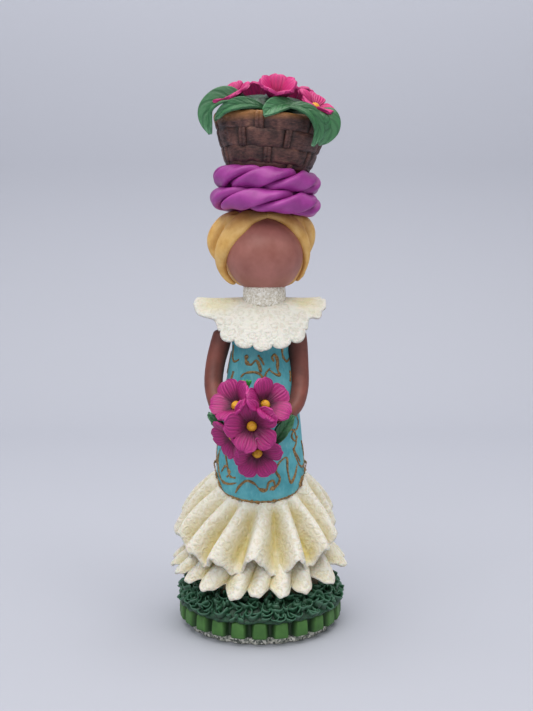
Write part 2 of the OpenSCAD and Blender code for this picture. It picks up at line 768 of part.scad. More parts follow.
foot_plate();
base_disc();
grass_mound();
grass_curls();
armature_rod();
skirt_cone();
lower_flounce();
upper_flounce();
hem_trim();
dress_core();
dress_shell();
left_shoulder_pin();
right_shoulder_pin();
left_arm();
right_arm();
neck_post();
choker_band();
collar();
head();
basket_pin();
wrap_hood();
wrap_left_inner();
wrap_right_inner();
wrap_left_outer();
wrap_right_outer();
lower_rope_a();
lower_rope_b();
upper_rope_a();
upper_rope_b();
basket_wall();
basket_strip_1();
basket_strip_2();
basket_strip_3();
basket_strip_4();
basket_stakes();
basket_fill();
basket_flower_front();
basket_flower_left();
basket_flower_right();
basket_flower_back_left();
basket_flower_back_right();
basket_stamens();
basket_leaf_1();
basket_leaf_2();
basket_leaf_3();
basket_leaf_4();
basket_leaf_5();
basket_leaf_6();
basket_leaf_7();
basket_leaf_8();
bouquet_core();
bouquet_flower_centre();
bouquet_flower_top_right();
bouquet_flower_top_left();
bouquet_flower_left();
bouquet_flower_bottom();
bouquet_stamens();
bouquet_leaf_right();
bouquet_leaf_left();
bouquet_sprig();
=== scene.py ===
import math
import random

import bmesh
import bpy
from mathutils import Matrix, Vector, noise


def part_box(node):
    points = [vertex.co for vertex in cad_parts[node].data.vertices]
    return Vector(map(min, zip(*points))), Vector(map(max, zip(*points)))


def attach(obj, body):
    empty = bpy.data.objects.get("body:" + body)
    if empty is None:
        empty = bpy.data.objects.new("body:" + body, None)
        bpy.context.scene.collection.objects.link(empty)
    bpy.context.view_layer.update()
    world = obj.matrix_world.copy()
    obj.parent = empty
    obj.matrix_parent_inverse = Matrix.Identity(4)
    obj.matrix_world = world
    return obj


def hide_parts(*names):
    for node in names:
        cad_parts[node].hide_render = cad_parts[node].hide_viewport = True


MM = 0.001
FRONT = -90.0

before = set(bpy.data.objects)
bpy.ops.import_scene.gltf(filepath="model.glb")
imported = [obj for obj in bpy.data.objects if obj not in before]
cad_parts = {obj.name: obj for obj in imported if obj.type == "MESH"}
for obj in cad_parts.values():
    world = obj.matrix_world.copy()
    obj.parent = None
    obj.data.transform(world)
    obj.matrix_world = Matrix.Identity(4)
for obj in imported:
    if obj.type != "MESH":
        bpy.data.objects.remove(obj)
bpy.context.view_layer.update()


# ---------------------------------------------------------------- sizes taken from the frame, in millimetres


def corners(node):
    """Lowest and highest corner of a node, in millimetres."""
    low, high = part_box(node)
    return Vector(low) / MM, Vector(high) / MM


DISC_HIGH = corners("base_disc")[1]
DISC_R = DISC_HIGH.x
GRASS_TOP = corners("grass_mound")[1].z
HEM_Z, SHOULDER_Z = corners("dress_shell")[0].z, corners("dress_shell")[1].z
HEAD_LOW, HEAD_HIGH = corners("head")
HEAD_R = (HEAD_HIGH.x - HEAD_LOW.x) / 2
HEAD = Vector(((HEAD_HIGH.x + HEAD_LOW.x) / 2, 0, HEAD_HIGH.z - HEAD_R))
CHOKER_LOW, CHOKER_HIGH = corners("choker_band")
LEAN = 4.5  # degrees that the rings and the basket lean to one side
CROWN = Matrix.Translation((HEAD.x, 0, HEAD.z + HEAD_R + 0.7)) @ Matrix.Rotation(math.radians(LEAN), 4, "Y")
ROPE_R = 3.4
LOWER_RING_R, UPPER_RING_R = 14.1, 13.6
BASKET_LOW = 4 * ROPE_R + 0.15
BASKET_H = 16.0
RIM = BASKET_LOW + BASKET_H
BASKET_FLOOR_R, BASKET_RIM_R = 12.4, 17.6
FLUTES = 24


# ---------------------------------------------------------------- modelling helpers


def lerp(a, b, t):
    return a + (b - a) * t


def smooth(t):
    t = min(max(t, 0), 1)
    return t * t * (3 - 2 * t)


def curve_through(points, t):
    """Smooth curve through points or numbers, t from 0 to 1 along the list."""
    last = len(points) - 1
    s = min(max(t, 0), 1) * last
    k = min(int(s), last - 1)
    f = s - k
    p0, p1, p2, p3 = (points[min(max(k + i, 0), last)] for i in (-1, 0, 1, 2))
    bend = (2 * p0 - 5 * p1 + 4 * p2 - p3) * f * f + (3 * p1 - p0 - 3 * p2 + p3) * f**3
    return 0.5 * (2 * p1 + (p2 - p0) * f + bend)


def turned(axis, degrees):
    return Matrix.Rotation(math.radians(degrees), 4, axis)


def wobble(place, size, seed=0.0):
    """Slow unevenness of handwork, between -1 and 1; size is its spacing in millimetres."""
    return noise.noise(Vector(place) / size + Vector((seed, seed * 1.7, -seed)))


def around(r, w, z=0.0):
    """Point at a reach r from the upright axis and an angle w in degrees."""
    return Vector((r * math.cos(math.radians(w)), r * math.sin(math.radians(w)), z))


def off_front(turn):
    """Degrees between the front and a direction, 0 to 180."""
    return abs((turn + 180) % 360 - 180)


def heading(path, t, step=0.02):
    """Way a path runs at t."""
    return path(min(t + step, 1)) - path(max(t - step, 0))


def end_taper(t, part, least=0.05):
    """Size of a strand at t, from 0 to 1: both ends, each a part of its length, are rounded off."""
    return math.sqrt(max(least, 1 - (1 - min(min(t, 1 - t) / part, 1)) ** 2))


def let_go():
    if bpy.context.object and bpy.context.object.mode != "OBJECT":
        bpy.ops.object.mode_set(mode="OBJECT")
    bpy.ops.object.select_all(action="DESELECT")


def take(piece):
    let_go()
    piece.select_set(True)
    bpy.context.view_layer.objects.active = piece
    return piece


def draw_out(name, rings, closed=False, capped=True, shade_marks=None):
    """Draws a strand, tube or sheet out of a circle, ring by ring; marks give each point's depth of painted
    shade, kept as the fold attribute.
    """
    let_go()
    count = len(rings[0])
    bpy.ops.mesh.primitive_circle_add(vertices=count, radius=MM)
    piece = bpy.context.object
    piece.name = name
    bpy.ops.object.mode_set(mode="EDIT")
    mesh = bmesh.from_edit_mesh(piece.data)
    place = mesh.verts.layers.int.new("place")
    depth = mesh.verts.layers.float.new("fold")
    for k, vert in enumerate(mesh.verts):
        vert[place] = k
    for r, ring in enumerate(rings):
        if r:
            bpy.ops.mesh.extrude_region()
            mesh = bmesh.from_edit_mesh(piece.data)
            place = mesh.verts.layers.int["place"]
            depth = mesh.verts.layers.float["fold"]
        for vert in mesh.verts:
            if vert.select:
                vert.co = Vector(ring[vert[place]]) * MM
                vert[depth] = shade_marks[r][vert[place]] if shade_marks else 0.0
    bmesh.update_edit_mesh(piece.data)
    if closed:
        bpy.ops.mesh.select_mode(type="EDGE")
        bpy.ops.mesh.select_all(action="DESELECT")
        bpy.ops.mesh.select_non_manifold(
            use_wire=False, use_multi_face=False, use_non_contiguous=False, use_verts=False
        )
        bpy.ops.mesh.bridge_edge_loops()
    elif capped:
        bpy.ops.mesh.select_all(action="SELECT")
        bpy.ops.mesh.fill_holes(sides=0)
    bpy.ops.mesh.select_all(action="SELECT")
    bpy.ops.mesh.normals_make_consistent(inside=False)
    bpy.ops.object.mode_set(mode="OBJECT")
    return piece


def press_sheet(name, columns, rows, shape):
    """Presses a flat grid into a leaf or petal; shape(u, v) gives a point, u across -1..1, v along 0..1."""
    let_go()
    bpy.ops.mesh.primitive_grid_add(x_subdivisions=columns, y_subdivisions=rows, size=2)
    piece = bpy.context.object
    piece.name = name
    bpy.ops.object.mode_set(mode="EDIT")
    mesh = bmesh.from_edit_mesh(piece.data)
    for vert in mesh.verts:
        vert.co = Vector(shape(vert.co.x, (vert.co.y + 1) / 2)) * MM
    bmesh.update_edit_mesh(piece.data)
    bpy.ops.object.mode_set(mode="OBJECT")
    return piece


def rework(piece, kind, **settings):
    """Adds a modifier and applies it."""
    take(piece)
    modifier = piece.modifiers.new(kind.title(), kind)
    for key, value in settings.items():
        setattr(modifier, key, value)
    bpy.ops.object.modifier_apply(modifier=modifier.name)
    return piece


def thicken(piece, thickness, offset=0.0, rounds=1):
    rework(piece, "SOLIDIFY", thickness=thickness * MM, offset=offset, use_even_offset=False)
    return soften(piece, rounds)


def soften(piece, rounds=1):
    return rework(piece, "SUBSURF", levels=rounds, render_levels=rounds)


def copy_of(piece, turn):
    """A copy with a mesh of its own, moved by a matrix in millimetres."""
    take(piece)
    bpy.ops.object.duplicate(linked=False)
    made = bpy.context.object
    at = turn.to_translation() * MM
    made.matrix_world = Matrix.Translation(at) @ turn.to_3x3().to_4x4()
    bpy.ops.object.transform_apply(location=True, rotation=True, scale=True)
    return made


def gather(name, pieces):
    take(pieces[0])
    for piece in pieces:
        piece.select_set(True)
    bpy.context.view_layer.objects.active = pieces[0]
    if len(pieces) > 1:
        bpy.ops.object.join()
    made = bpy.context.object
    made.name = name
    return made


def throw_away(*pieces):
    for piece in pieces:
        bpy.data.objects.remove(piece, do_unlink=True)


def hand_over(piece, finish, slot, *nodes, angle=None):
    """Gives a piece its finish, its place on the body and the CAD nodes it stands for."""
    take(piece)
    bpy.ops.object.transform_apply(location=True, rotation=True, scale=True)
    if angle is None:
        bpy.ops.object.shade_smooth()
    else:
        bpy.ops.object.shade_smooth_by_angle(angle=math.radians(angle))
    piece.data.materials.clear()
    piece.data.materials.append(finish)
    if piece.name.endswith(".001"):
        piece.name = "shaped_" + piece.name[:-4]
    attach(piece, "root")
    if nodes:
        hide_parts(*nodes)
    return piece


def level_ring(z, radius_at, count, centre=(0, 0)):
    """Points of a ring about the upright axis; radius_at takes the angle in degrees."""
    turns = [FRONT + 360 * k / count for k in range(count)]
    return [around(radius_at(w), w, z) + Vector((*centre, 0)) for w in turns]


def oval(centre, along, wide, a, b, count=14):
    """A ring square to along: a is the half-width towards wide and b the half-thickness."""
    t = Vector(along).normalized()
    w = (Vector(wide) - t * Vector(wide).dot(t)).normalized()
    n = t.cross(w)
    return [
        Vector(centre) + w * (a * math.cos(k * math.tau / count)) + n * (b * math.sin(k * math.tau / count))
        for k in range(count)
    ]


def strand_rings(path, wide, half_width, half_thickness, steps, count=14, round_off=0.12):
    """Rings of a rolled strand along a path function of t; its ends are rounded off."""
    rings = []
    for i in range(steps + 1):
        s = 0.5 - 0.5 * math.cos(math.pi * i / steps)
        shrink = end_taper(s, round_off, 0.02)
        a, b = half_width(s) * shrink, half_thickness(s) * shrink
        rings.append(oval(path(s), heading(path, s, 0.01), wide, a, b, count))
    return rings


# ---------------------------------------------------------------- finishes


def colour(code):
    """Linear red, green, blue and alpha from an sRGB hex value."""
    values = [int(code[i : i + 2], 16) / 255 for i in (0, 2, 4)]
    return (*(v / 12.92 if v <= 0.04045 else ((v + 0.055) / 1.055) ** 2.4 for v in values), 1.0)


def give(tree, node, feed):
    """Gives a node's inputs a value or another node's output."""
    for socket, value in feed.items():
        if isinstance(value, bpy.types.NodeSocket):
            tree.links.new(value, node.inputs[socket])
        else:
            node.inputs[socket].default_value = value


def add(tree, kind, feed=None, ramp=None, **settings):
    """Adds a node; feed gives its inputs a value or another node's output, ramp its colour stops."""
    made = tree.nodes.new("ShaderNode" + kind)
    for key, value in settings.items():
        setattr(made, key, value)
    give(tree, made, feed or {})
    if ramp:
        stops = made.color_ramp.elements
        while len(stops) < len(ramp):
            stops.new(0.5)
        for stop, (at, shade) in zip(stops, ramp):
            stop.position = at
            stop.color = colour(shade) if isinstance(shade, str) else (shade, shade, shade, 1)
    return made


def shader_of(finish):
    return finish.node_tree, finish.node_tree.nodes["Principled BSDF"]


def new_finish(name):
    """An empty material with its nodes and its shader."""
    finish = bpy.data.materials.new(name)
    finish.use_nodes = True
    return finish, *shader_of(finish)


def modelled_clay(name, light, mid, dark, patch=4.0, grain=0.35, rough=0.5, dent=0.06, coat=0.0):
    """Hand-rolled clay: patchy tint, fine grain and soft dents; patch and grain are in millimetres."""
    finish, tree, shader = new_finish(name)
    at = add(tree, "TexCoord").outputs["Object"]
    tint = add(tree, "TexNoise", {"Vector": at, "Scale": 1 / (patch * MM), "Detail": 3.0, "Roughness": 0.6})
    shade = add(
        tree,
        "ValToRGB",
        {"Fac": tint.outputs["Fac"]},
        ramp=[(0.32, dark), (0.5, mid), (0.7, light)],
    )
    fine = add(tree, "TexNoise", {"Vector": at, "Scale": 1 / (grain * MM), "Detail": 2.0})
    soft = add(tree, "TexNoise", {"Vector": at, "Scale": 1 / (2.2 * MM), "Detail": 1.0})
    gloss = add(
        tree, "MapRange", {"Value": fine.outputs["Fac"], "To Min": rough - 0.07, "To Max": rough + 0.09}
    )
    low = add(
        tree, "Bump", {"Height": soft.outputs["Fac"], "Strength": 0.5, "Distance": 3 * dent * MM}
    )
    high = add(
        tree,
        "Bump",
        {
            "Height": fine.outputs["Fac"],
            "Strength": 0.6,
            "Distance": dent * MM,
            "Normal": low.outputs["Normal"],
        },
    )
    skin = {
        "Base Color": shade.outputs["Color"],
        "Roughness": gloss.outputs["Result"],
        "Normal": high.outputs["Normal"],
        "IOR": 1.5,
        "Coat Weight": coat,
        "Coat Roughness": 0.3,
    }
    give(tree, shader, skin)
    return finish


def grooved_clay():
    """Green clay of the fluted disc: matte, with painted shade laid on it down in the grooves."""
    finish = modelled_clay(
        "leaf_green_disc_clay", "4f803c", "457532", "3a672b", patch=5, rough=0.55, dent=0.06
    )
    tree, shader = shader_of(finish)
    depth = add(tree, "Attribute", attribute_name="fold")
    base = shader.inputs["Base Color"].links[0].from_socket
    # Painted shade: the fold attribute darkens the clay deep in each groove.
    shade = add(
        tree, "MixRGB", {"Fac": depth.outputs["Fac"], "Color1": base, "Color2": colour("1c3a1a")}
    )
    give(tree, shader, {"Base Color": shade.outputs["Color"]})
    return finish


def turquoise_clay():
    """Turquoise clay brushed with a paler wash: matte, with a fine upright grain."""
    finish = modelled_clay(
        "brushed_turquoise_clay", "6cbcc6", "58aebb", "479daa", patch=5, rough=0.56, dent=0.07
    )
    tree, shader = shader_of(finish)
    at = add(tree, "TexCoord").outputs["Object"]
    drawn = add(tree, "Mapping", {"Vector": at, "Scale": (1.0, 1.0, 0.3)})
    wash = add(
        tree,
        "TexNoise",
        {"Vector": drawn.outputs["Vector"], "Scale": 1 / (0.9 * MM), "Detail": 4.0},
    )
    veil = add(tree, "ValToRGB", {"Fac": wash.outputs["Fac"]}, ramp=[(0.55, 0.0), (0.8, 0.55)])
    base = shader.inputs["Base Color"].links[0].from_socket
    blend = add(
        tree, "MixRGB", {"Fac": veil.outputs["Color"], "Color1": base, "Color2": colour("8fd0d4")}
    )
    give(tree, shader, {"Base Color": blend.outputs["Color"]})
    return finish


def bronze_paint():
    """Bronze paint over raised clay thread: mottled brown to gold, with painted shade in the hollows and
    painted highlights on the high points.
    """
    finish, tree, shader = new_finish("bronze_paint")
    at = add(tree, "TexCoord").outputs["Object"]
    relief_and_highlight = add(tree, "TexNoise", {"Vector": at, "Scale": 1 / (0.7 * MM), "Detail": 4.0, "Roughness": 0.7})
    # Painted shade and highlight: one noise raises the bump and colours it, brown in its hollows and gold on
    # its tops.
    shade = add(
        tree,
        "ValToRGB",
        {"Fac": relief_and_highlight.outputs["Fac"]},
        ramp=[(0.3, "5d432b"), (0.45, "86653f"), (0.58, "a98752"), (0.72, "d4b98a")],
    )
    shine = add(tree, "MapRange", {"Value": relief_and_highlight.outputs["Fac"], "To Min": 0.62, "To Max": 0.3})
    bump = add(tree, "Bump", {"Height": relief_and_highlight.outputs["Fac"], "Strength": 0.7, "Distance": 0.15 * MM})
    skin = {
        "Base Color": shade.outputs["Color"],
        "Roughness": shine.outputs["Result"],
        "Normal": bump.outputs["Normal"],
        "Metallic": 0.35,
    }
    give(tree, shader, skin)
    return finish


def lace_clay(name, high, low, fold):
    """Cream clay pressed with lace: rosettes 3.4 mm apart on a fine net, its hollows painted a shade darker,
    and painted yellowish shade deep in the folds.
    """
    finish, tree, shader = new_finish(name)
    at = add(tree, "TexCoord").outputs["Object"]
    drift = add(tree, "TexNoise", {"Vector": at, "Scale": 1 / (1.5 * MM), "Detail": 2.0})
    centred = add(tree, "VectorMath", {0: drift.outputs["Color"], 1: (0.5, 0.5, 0.5)}, operation="SUBTRACT")
    push = (2.4 * MM, 2.4 * MM, 2.4 * MM)
    pulled = add(
        tree,
        "VectorMath",
        {0: centred.outputs["Vector"], 1: push, 2: at},
        operation="MULTIPLY_ADD",
    )
    rosette = add(
        tree, "TexVoronoi", {"Vector": pulled.outputs["Vector"], "Scale": 1 / (3.4 * MM), "Randomness": 0.8}
    )
    loops = add(tree, "Math", {0: rosette.outputs["Distance"], 1: 14.0}, operation="MULTIPLY")
    wave = add(tree, "Math", {0: loops.outputs["Value"]}, operation="SINE")
    net = add(
        tree,
        "TexVoronoi",
        {"Vector": at, "Scale": 1 / (1.5 * MM), "Randomness": 0.7},
        feature="DISTANCE_TO_EDGE",
    )
    mesh = add(
        tree,
        "MapRange",
        {"Value": net.outputs["Distance"], "From Max": 0.3, "To Min": 0.5, "To Max": 0.0},
    )
    relief = add(
        tree,
        "Math",
        {0: wave.outputs["Value"], 1: 0.45, 2: mesh.outputs["Result"]},
        operation="MULTIPLY_ADD",
    )
    tone = add(tree, "MapRange", {"Value": relief.outputs["Value"], "From Min": -0.4, "From Max": 1.2})
    # Painted shade: the lace's pressed hollows take the darker low colour.
    pressed = add(tree, "ValToRGB", {"Fac": tone.outputs["Result"]}, ramp=[(0.05, low), (0.5, high)])
    depth = add(tree, "Attribute", attribute_name="fold")
    patches = add(tree, "TexNoise", {"Vector": at, "Scale": 1 / (6 * MM), "Detail": 2.0})
    patchy = add(tree, "Math", {0: patches.outputs["Fac"], 1: 1.5}, operation="MULTIPLY")
    # Painted shade: the fold colour, in patches, deep in the folds.
    fold_shade = add(
        tree, "Math", {0: depth.outputs["Fac"], 1: patchy.outputs["Value"]}, operation="MULTIPLY"
    )
    blend = add(
        tree,
        "MixRGB",
        {"Fac": fold_shade.outputs["Value"], "Color1": pressed.outputs["Color"], "Color2": colour(fold)},
    )
    bump = add(tree, "Bump", {"Height": relief.outputs["Value"], "Strength": 0.7, "Distance": 0.22 * MM})
    skin = {
        "Base Color": blend.outputs["Color"],
        "Normal": bump.outputs["Normal"],
        "Roughness": 0.62,
        "Subsurface Weight": 0.12,
        "Subsurface Scale": 0.8 * MM,
    }
    give(tree, shader, skin)
    return finish


def silver_glitter():
    """Loose silver glitter in glue: flakes about half a millimetre, with painted glints: bright, cream or
    dark as they tip.
    """
    finish, tree, shader = new_finish("silver_glitter")
    at = add(tree, "TexCoord").outputs["Object"]
    flakes = add(tree, "TexVoronoi", {"Vector": at, "Scale": 1 / (0.62 * MM), "Randomness": 1.0})
    tip = add(tree, "SeparateColor", {"Color": flakes.outputs["Color"]})
    # Painted glints and reflections: each flake's cell picks how bright it is.
    shade = add(
        tree,
        "ValToRGB",
        {"Fac": tip.outputs["Red"]},
        ramp=[(0.0, "4a4f49"), (0.2, "777d75"), (0.45, "a9ada2"), (0.7, "d6d5c8"), (0.9, "f6f4ea")],
    )
    bump = add(tree, "Bump", {"Height": tip.outputs["Green"], "Strength": 0.8, "Distance": 0.2 * MM})
    skin = {
        "Base Color": shade.outputs["Color"],
        "Normal": bump.outputs["Normal"],
        "Metallic": 0.25,
        "Roughness": 0.32,
    }
    give(tree, shader, skin)
    return finish


def glitter_lace():
    """White lace ribbon with silver glitter: loops of thread, and bright specks painted as glints."""
    finish, tree, shader = new_finish("glitter_lace")
    at = add(tree, "TexCoord").outputs["Object"]
    loops = add(tree, "TexVoronoi", {"Vector": at, "Scale": 1 / (1.5 * MM), "Randomness": 0.8})
    wave = add(tree, "Math", {0: loops.outputs["Distance"], 1: 14.0}, operation="MULTIPLY")
    thread = add(tree, "Math", {0: wave.outputs["Value"]}, operation="SINE")
    speck = add(tree, "TexVoronoi", {"Vector": at, "Scale": 1 / (0.5 * MM), "Randomness": 1.0})
    tip = add(tree, "SeparateColor", {"Color": speck.outputs["Color"]})
    # Painted glints: the specks lighten the lace cell by cell.
    mixed = add(
        tree, "Math", {0: thread.outputs["Value"], 1: 0.22, 2: tip.outputs["Red"]}, operation="MULTIPLY_ADD"
    )
    shade = add(
        tree,
        "ValToRGB",
        {"Fac": mixed.outputs["Value"]},
        ramp=[(0.0, "cbc4b2"), (0.3, "dcd6c7"), (0.6, "e8e3d5"), (0.9, "fbf9f2")],
    )
    bump = add(tree, "Bump", {"Height": mixed.outputs["Value"], "Strength": 0.6, "Distance": 0.24 * MM})
    skin = {
        "Base Color": shade.outputs["Color"],
        "Normal": bump.outputs["Normal"],
        "Metallic": 0.03,
        "Roughness": 0.34,
    }
    give(tree, shader, skin)
    return finish


def basket_clay():
    """Brown clay scored like bark, with painted shade darkening each strip towards its tucked-in edges; the
    rim is worn to tan and rust.
    """
    finish, tree, shader = new_finish("scored_brown_clay")
    at = add(tree, "TexCoord").outputs["Object"]
    drawn = add(tree, "Mapping", {"Vector": at, "Scale": (0.35, 0.35, 1.0)})
    streak = add(
        tree,
        "TexNoise",
        {"Vector": drawn.outputs["Vector"], "Scale": 1 / (0.55 * MM), "Detail": 5.0, "Roughness": 0.65},
    )
    patches = add(tree, "TexNoise", {"Vector": at, "Scale": 1 / (4.5 * MM), "Detail": 3.0})
    mixed = add(tree, "Math", {0: streak.outputs["Fac"], 1: patches.outputs["Fac"]}, operation="ADD")
    halved = add(tree, "Math", {0: mixed.outputs["Value"], 1: 0.5}, operation="MULTIPLY")
    shade = add(
        tree,
        "ValToRGB",
        {"Fac": halved.outputs["Value"]},
        ramp=[(0.36, "241412"), (0.45, "442a26"), (0.52, "5b3a34"), (0.6, "714a41"), (0.68, "8c6350")],
    )
    spot = add(tree, "SeparateXYZ", {"Vector": add(tree, "UVMap").outputs["UV"]})
    # Painted shade: darker towards each strip's edges, where the strips tuck in and meet.
    sides = []
    for axis in ("X", "Y"):
        centred = add(tree, "Math", {0: spot.outputs[axis], 1: 0.5}, operation="SUBTRACT")
        sides.append(add(tree, "Math", {0: centred.outputs["Value"]}, operation="ABSOLUTE").outputs["Value"])
    edge = add(tree, "Math", {0: sides[0], 1: sides[1]}, operation="MAXIMUM")
    wash = add(tree, "MapRange", {"Value": edge.outputs["Value"], "From Min": 0.37, "From Max": 0.48})
    edge_shaded = add(
        tree,
        "MixRGB",
        {"Fac": wash.outputs["Result"], "Color1": shade.outputs["Color"], "Color2": colour("1a0d0c")},
    )
    height = add(tree, "SeparateXYZ", {"Vector": at})
    rim_low = (HEAD.z + HEAD_R + RIM - 1.6) * MM
    near_rim = add(
        tree,
        "MapRange",
        {"Value": height.outputs["Z"], "From Min": rim_low, "From Max": rim_low + 2.2 * MM},
    )
    worn = add(
        tree,
        "Math",
        {0: near_rim.outputs["Result"], 1: patches.outputs["Fac"]},
        operation="MULTIPLY",
    )
    blend = add(
        tree,
        "MixRGB",
        {"Fac": worn.outputs["Value"], "Color1": edge_shaded.outputs["Color"], "Color2": colour("c98a45")},
    )
    bump = add(tree, "Bump", {"Height": streak.outputs["Fac"], "Strength": 0.9, "Distance": 0.3 * MM})
    gloss = add(tree, "MapRange", {"Value": streak.outputs["Fac"], "To Min": 0.62, "To Max": 0.4})
    skin = {
        "Base Color": blend.outputs["Color"],
        "Normal": bump.outputs["Normal"],
        "Roughness": gloss.outputs["Result"],
    }
    give(tree, shader, skin)
    return finish


def veined(name, stops, vein_shade, veins, slant, rough):
    """Clay pressed in a veiner: painted shade at the root, the clay's own colour, a painted highlight at the
    tip, and painted shade in the grooves; reads the UV map.
    """
    finish, tree, shader = new_finish(name)
    parts = add(tree, "SeparateXYZ", {"Vector": add(tree, "UVMap").outputs["UV"]})
    at = add(tree, "TexCoord").outputs["Object"]
    patches = add(tree, "TexNoise", {"Vector": at, "Scale": 1 / (1.6 * MM), "Detail": 3.0})
    drift = add(
        tree, "Math", {0: patches.outputs["Fac"], 1: 0.24, 2: parts.outputs["Y"]}, operation="MULTIPLY_ADD"
    )
    along = add(tree, "Math", {0: drift.outputs["Value"], 1: 0.12}, operation="SUBTRACT")
    # Painted shade and highlight: the stops run from shade at the root to highlight at the tip.
    shade = add(tree, "ValToRGB", {"Fac": along.outputs["Value"]}, ramp=stops)
    centred = add(tree, "Math", {0: parts.outputs["X"], 1: 0.5}, operation="SUBTRACT")
    side = add(tree, "Math", {0: centred.outputs["Value"]}, operation="ABSOLUTE")
    run = add(tree, "Math", {0: parts.outputs["Y"], 1: slant}, operation="MULTIPLY")
    phase = add(
        tree,
        "Math",
        {0: side.outputs["Value"], 1: veins, 2: run.outputs["Value"]},
        operation="MULTIPLY_ADD",
    )
    turned = add(
        tree,
        "Math",
        {0: patches.outputs["Fac"], 1: 1.2, 2: phase.outputs["Value"]},
        operation="MULTIPLY_ADD",
    )
    lines = add(tree, "Math", {0: turned.outputs["Value"]}, operation="SINE")
    groove = add(tree, "MapRange", {"Value": lines.outputs["Value"], "From Min": 0.25, "From Max": 1.0})
    faint = add(tree, "Math", {0: groove.outputs["Result"], 1: 0.55}, operation="MULTIPLY")
    # Painted shade: the vein grooves are darkened towards the vein colour.
    blend = add(
        tree,
        "MixRGB",
        {"Fac": faint.outputs["Value"], "Color1": shade.outputs["Color"], "Color2": colour(vein_shade)},
    )
    grain = add(tree, "TexNoise", {"Vector": at, "Scale": 1 / (0.3 * MM), "Detail": 2.0})
    bump = add(
        tree,
        "Bump",
        {"Height": groove.outputs["Result"], "Strength": 0.6, "Distance": 0.14 * MM},
        invert=True,
    )
    skin = add(
        tree,
        "Bump",
        {
            "Height": grain.outputs["Fac"],
            "Strength": 0.4,
            "Distance": 0.08 * MM,
            "Normal": bump.outputs["Normal"],
        },
    )
    skin = {
        "Base Color": blend.outputs["Color"],
        "Normal": skin.outputs["Normal"],
        "Roughness": rough,
    }
    give(tree, shader, skin)
    return finish


def drawn_steel():
    """Bare drawn wire: bright, with faint lines along it."""
    finish, tree, shader = new_finish("drawn_steel_wire")
    at = add(tree, "TexCoord").outputs["Object"]
    drawn = add(tree, "Mapping", {"Vector": at, "Scale": (1.0, 1.0, 0.05)})
    lines = add(tree, "TexNoise", {"Vector": drawn.outputs["Vector"], "Scale": 1 / (0.2 * MM)})
    gloss = add(tree, "MapRange", {"Value": lines.outputs["Fac"], "To Min": 0.25, "To Max": 0.45})
    skin = {
        "Roughness": gloss.outputs["Result"],
        "Base Color": colour("a6a6a3"),
        "Metallic": 1.0,
    }
    give(tree, shader, skin)
    return finish


def ribbon_clay():
    """Green clay cut into ribbons: painted shade darkens a ribbon's foot and a painted highlight pales its
    thin edge; reads the UV map.
    """
    finish, tree, shader = new_finish("dark_grass_ribbon_clay")
    across = add(tree, "SeparateXYZ", {"Vector": add(tree, "UVMap").outputs["UV"]})
    at = add(tree, "TexCoord").outputs["Object"]
    patches = add(tree, "TexNoise", {"Vector": at, "Scale": 1 / (1.1 * MM), "Detail": 3.0})
    # Painted shade and highlight: dark at the ribbon's foot, pale at its edge.
    mixed = add(
        tree, "Math", {0: patches.outputs["Fac"], 1: 0.35, 2: across.outputs["Y"]}, operation="MULTIPLY_ADD"
    )
    shade = add(
        tree,
        "ValToRGB",
        {"Fac": mixed.outputs["Value"]},
        ramp=[(0.1, "16301f"), (0.6, "244a32"), (0.9, "305c41"), (1.0, "44735a")],
    )
    bump = add(tree, "Bump", {"Height": patches.outputs["Fac"], "Strength": 0.5, "Distance": 0.12 * MM})
    skin = {
        "Base Color": shade.outputs["Color"],
        "Normal": bump.outputs["Normal"],
        "Roughness": 0.4,
        "Coat Weight": 0.15,
    }
    give(tree, shader, skin)
    return finish


# Baked polymer clay rolled to a satin: the even rope rings show a soft long highlight.
ROPE_CLAY = modelled_clay(
    "satin_magenta_clay", "b64aa8", "a83c9b", "96308b", patch=7, rough=0.47, dent=0.03, coat=0.08
)
# The arms are a little smoother and browner than the rest.
ARM_CLAY = modelled_clay("satin_brown_clay", "8a4d42", "7c453b", "6c3a32", patch=6, rough=0.52, dent=0.04)
# The head is one smooth ball of lighter brown clay.
FACE_CLAY = modelled_clay(
    "smooth_reddish_clay", "b5766c", "a66a5f", "985c51", patch=9, rough=0.46, dent=0.03
)
# Mustard clay of the head wrap: drawn thin, so it keeps faint streaks.
WRAP_CLAY = modelled_clay("mustard_clay", "edc57e", "e4b669", "d5a052", patch=5, dent=0.07)
# Darker green clay under the curls, dragged over the top of the disc.
MOUND_CLAY = modelled_clay(
    "dark_grass_mound_clay", "2a5a3e", "1c442e", "123020", patch=1.3, grain=0.5, rough=0.45, dent=0.16
)
# Tan clay showing where the basket's brown wash is worn off its rim.
RIM_CLAY = modelled_clay("worn_tan_rim_clay", "bd8848", "96653a", "5d4034", patch=2.6, rough=0.55, dent=0.12)
# Bright green clay of the small sprig.
SPRIG_CLAY = modelled_clay("bright_sprig_clay", "4bb455", "38a045", "2c8a3a", patch=2, rough=0.45, dent=0.05)
# Yellow clay balls with a stippled skin.
STAMEN_CLAY = modelled_clay(
    "yellow_stamen_clay", "eab02c", "dfa122", "c98a18", patch=1.2, rough=0.55, dent=0.12
)
# Pressed paper pulp of the hidden fillings: dull and fibrous; its dark tones are painted shade where it
# shows between the lower flounce's folds.
PAPER_PULP = modelled_clay("pressed_paper_pulp", "8f8166", "7c6f57", "695d49", patch=2, rough=0.85, dent=0.2)
DISC_CLAY = grooved_clay()
DRESS_CLAY = turquoise_clay()
GRASS_CLAY = ribbon_clay()
BRONZE = bronze_paint()
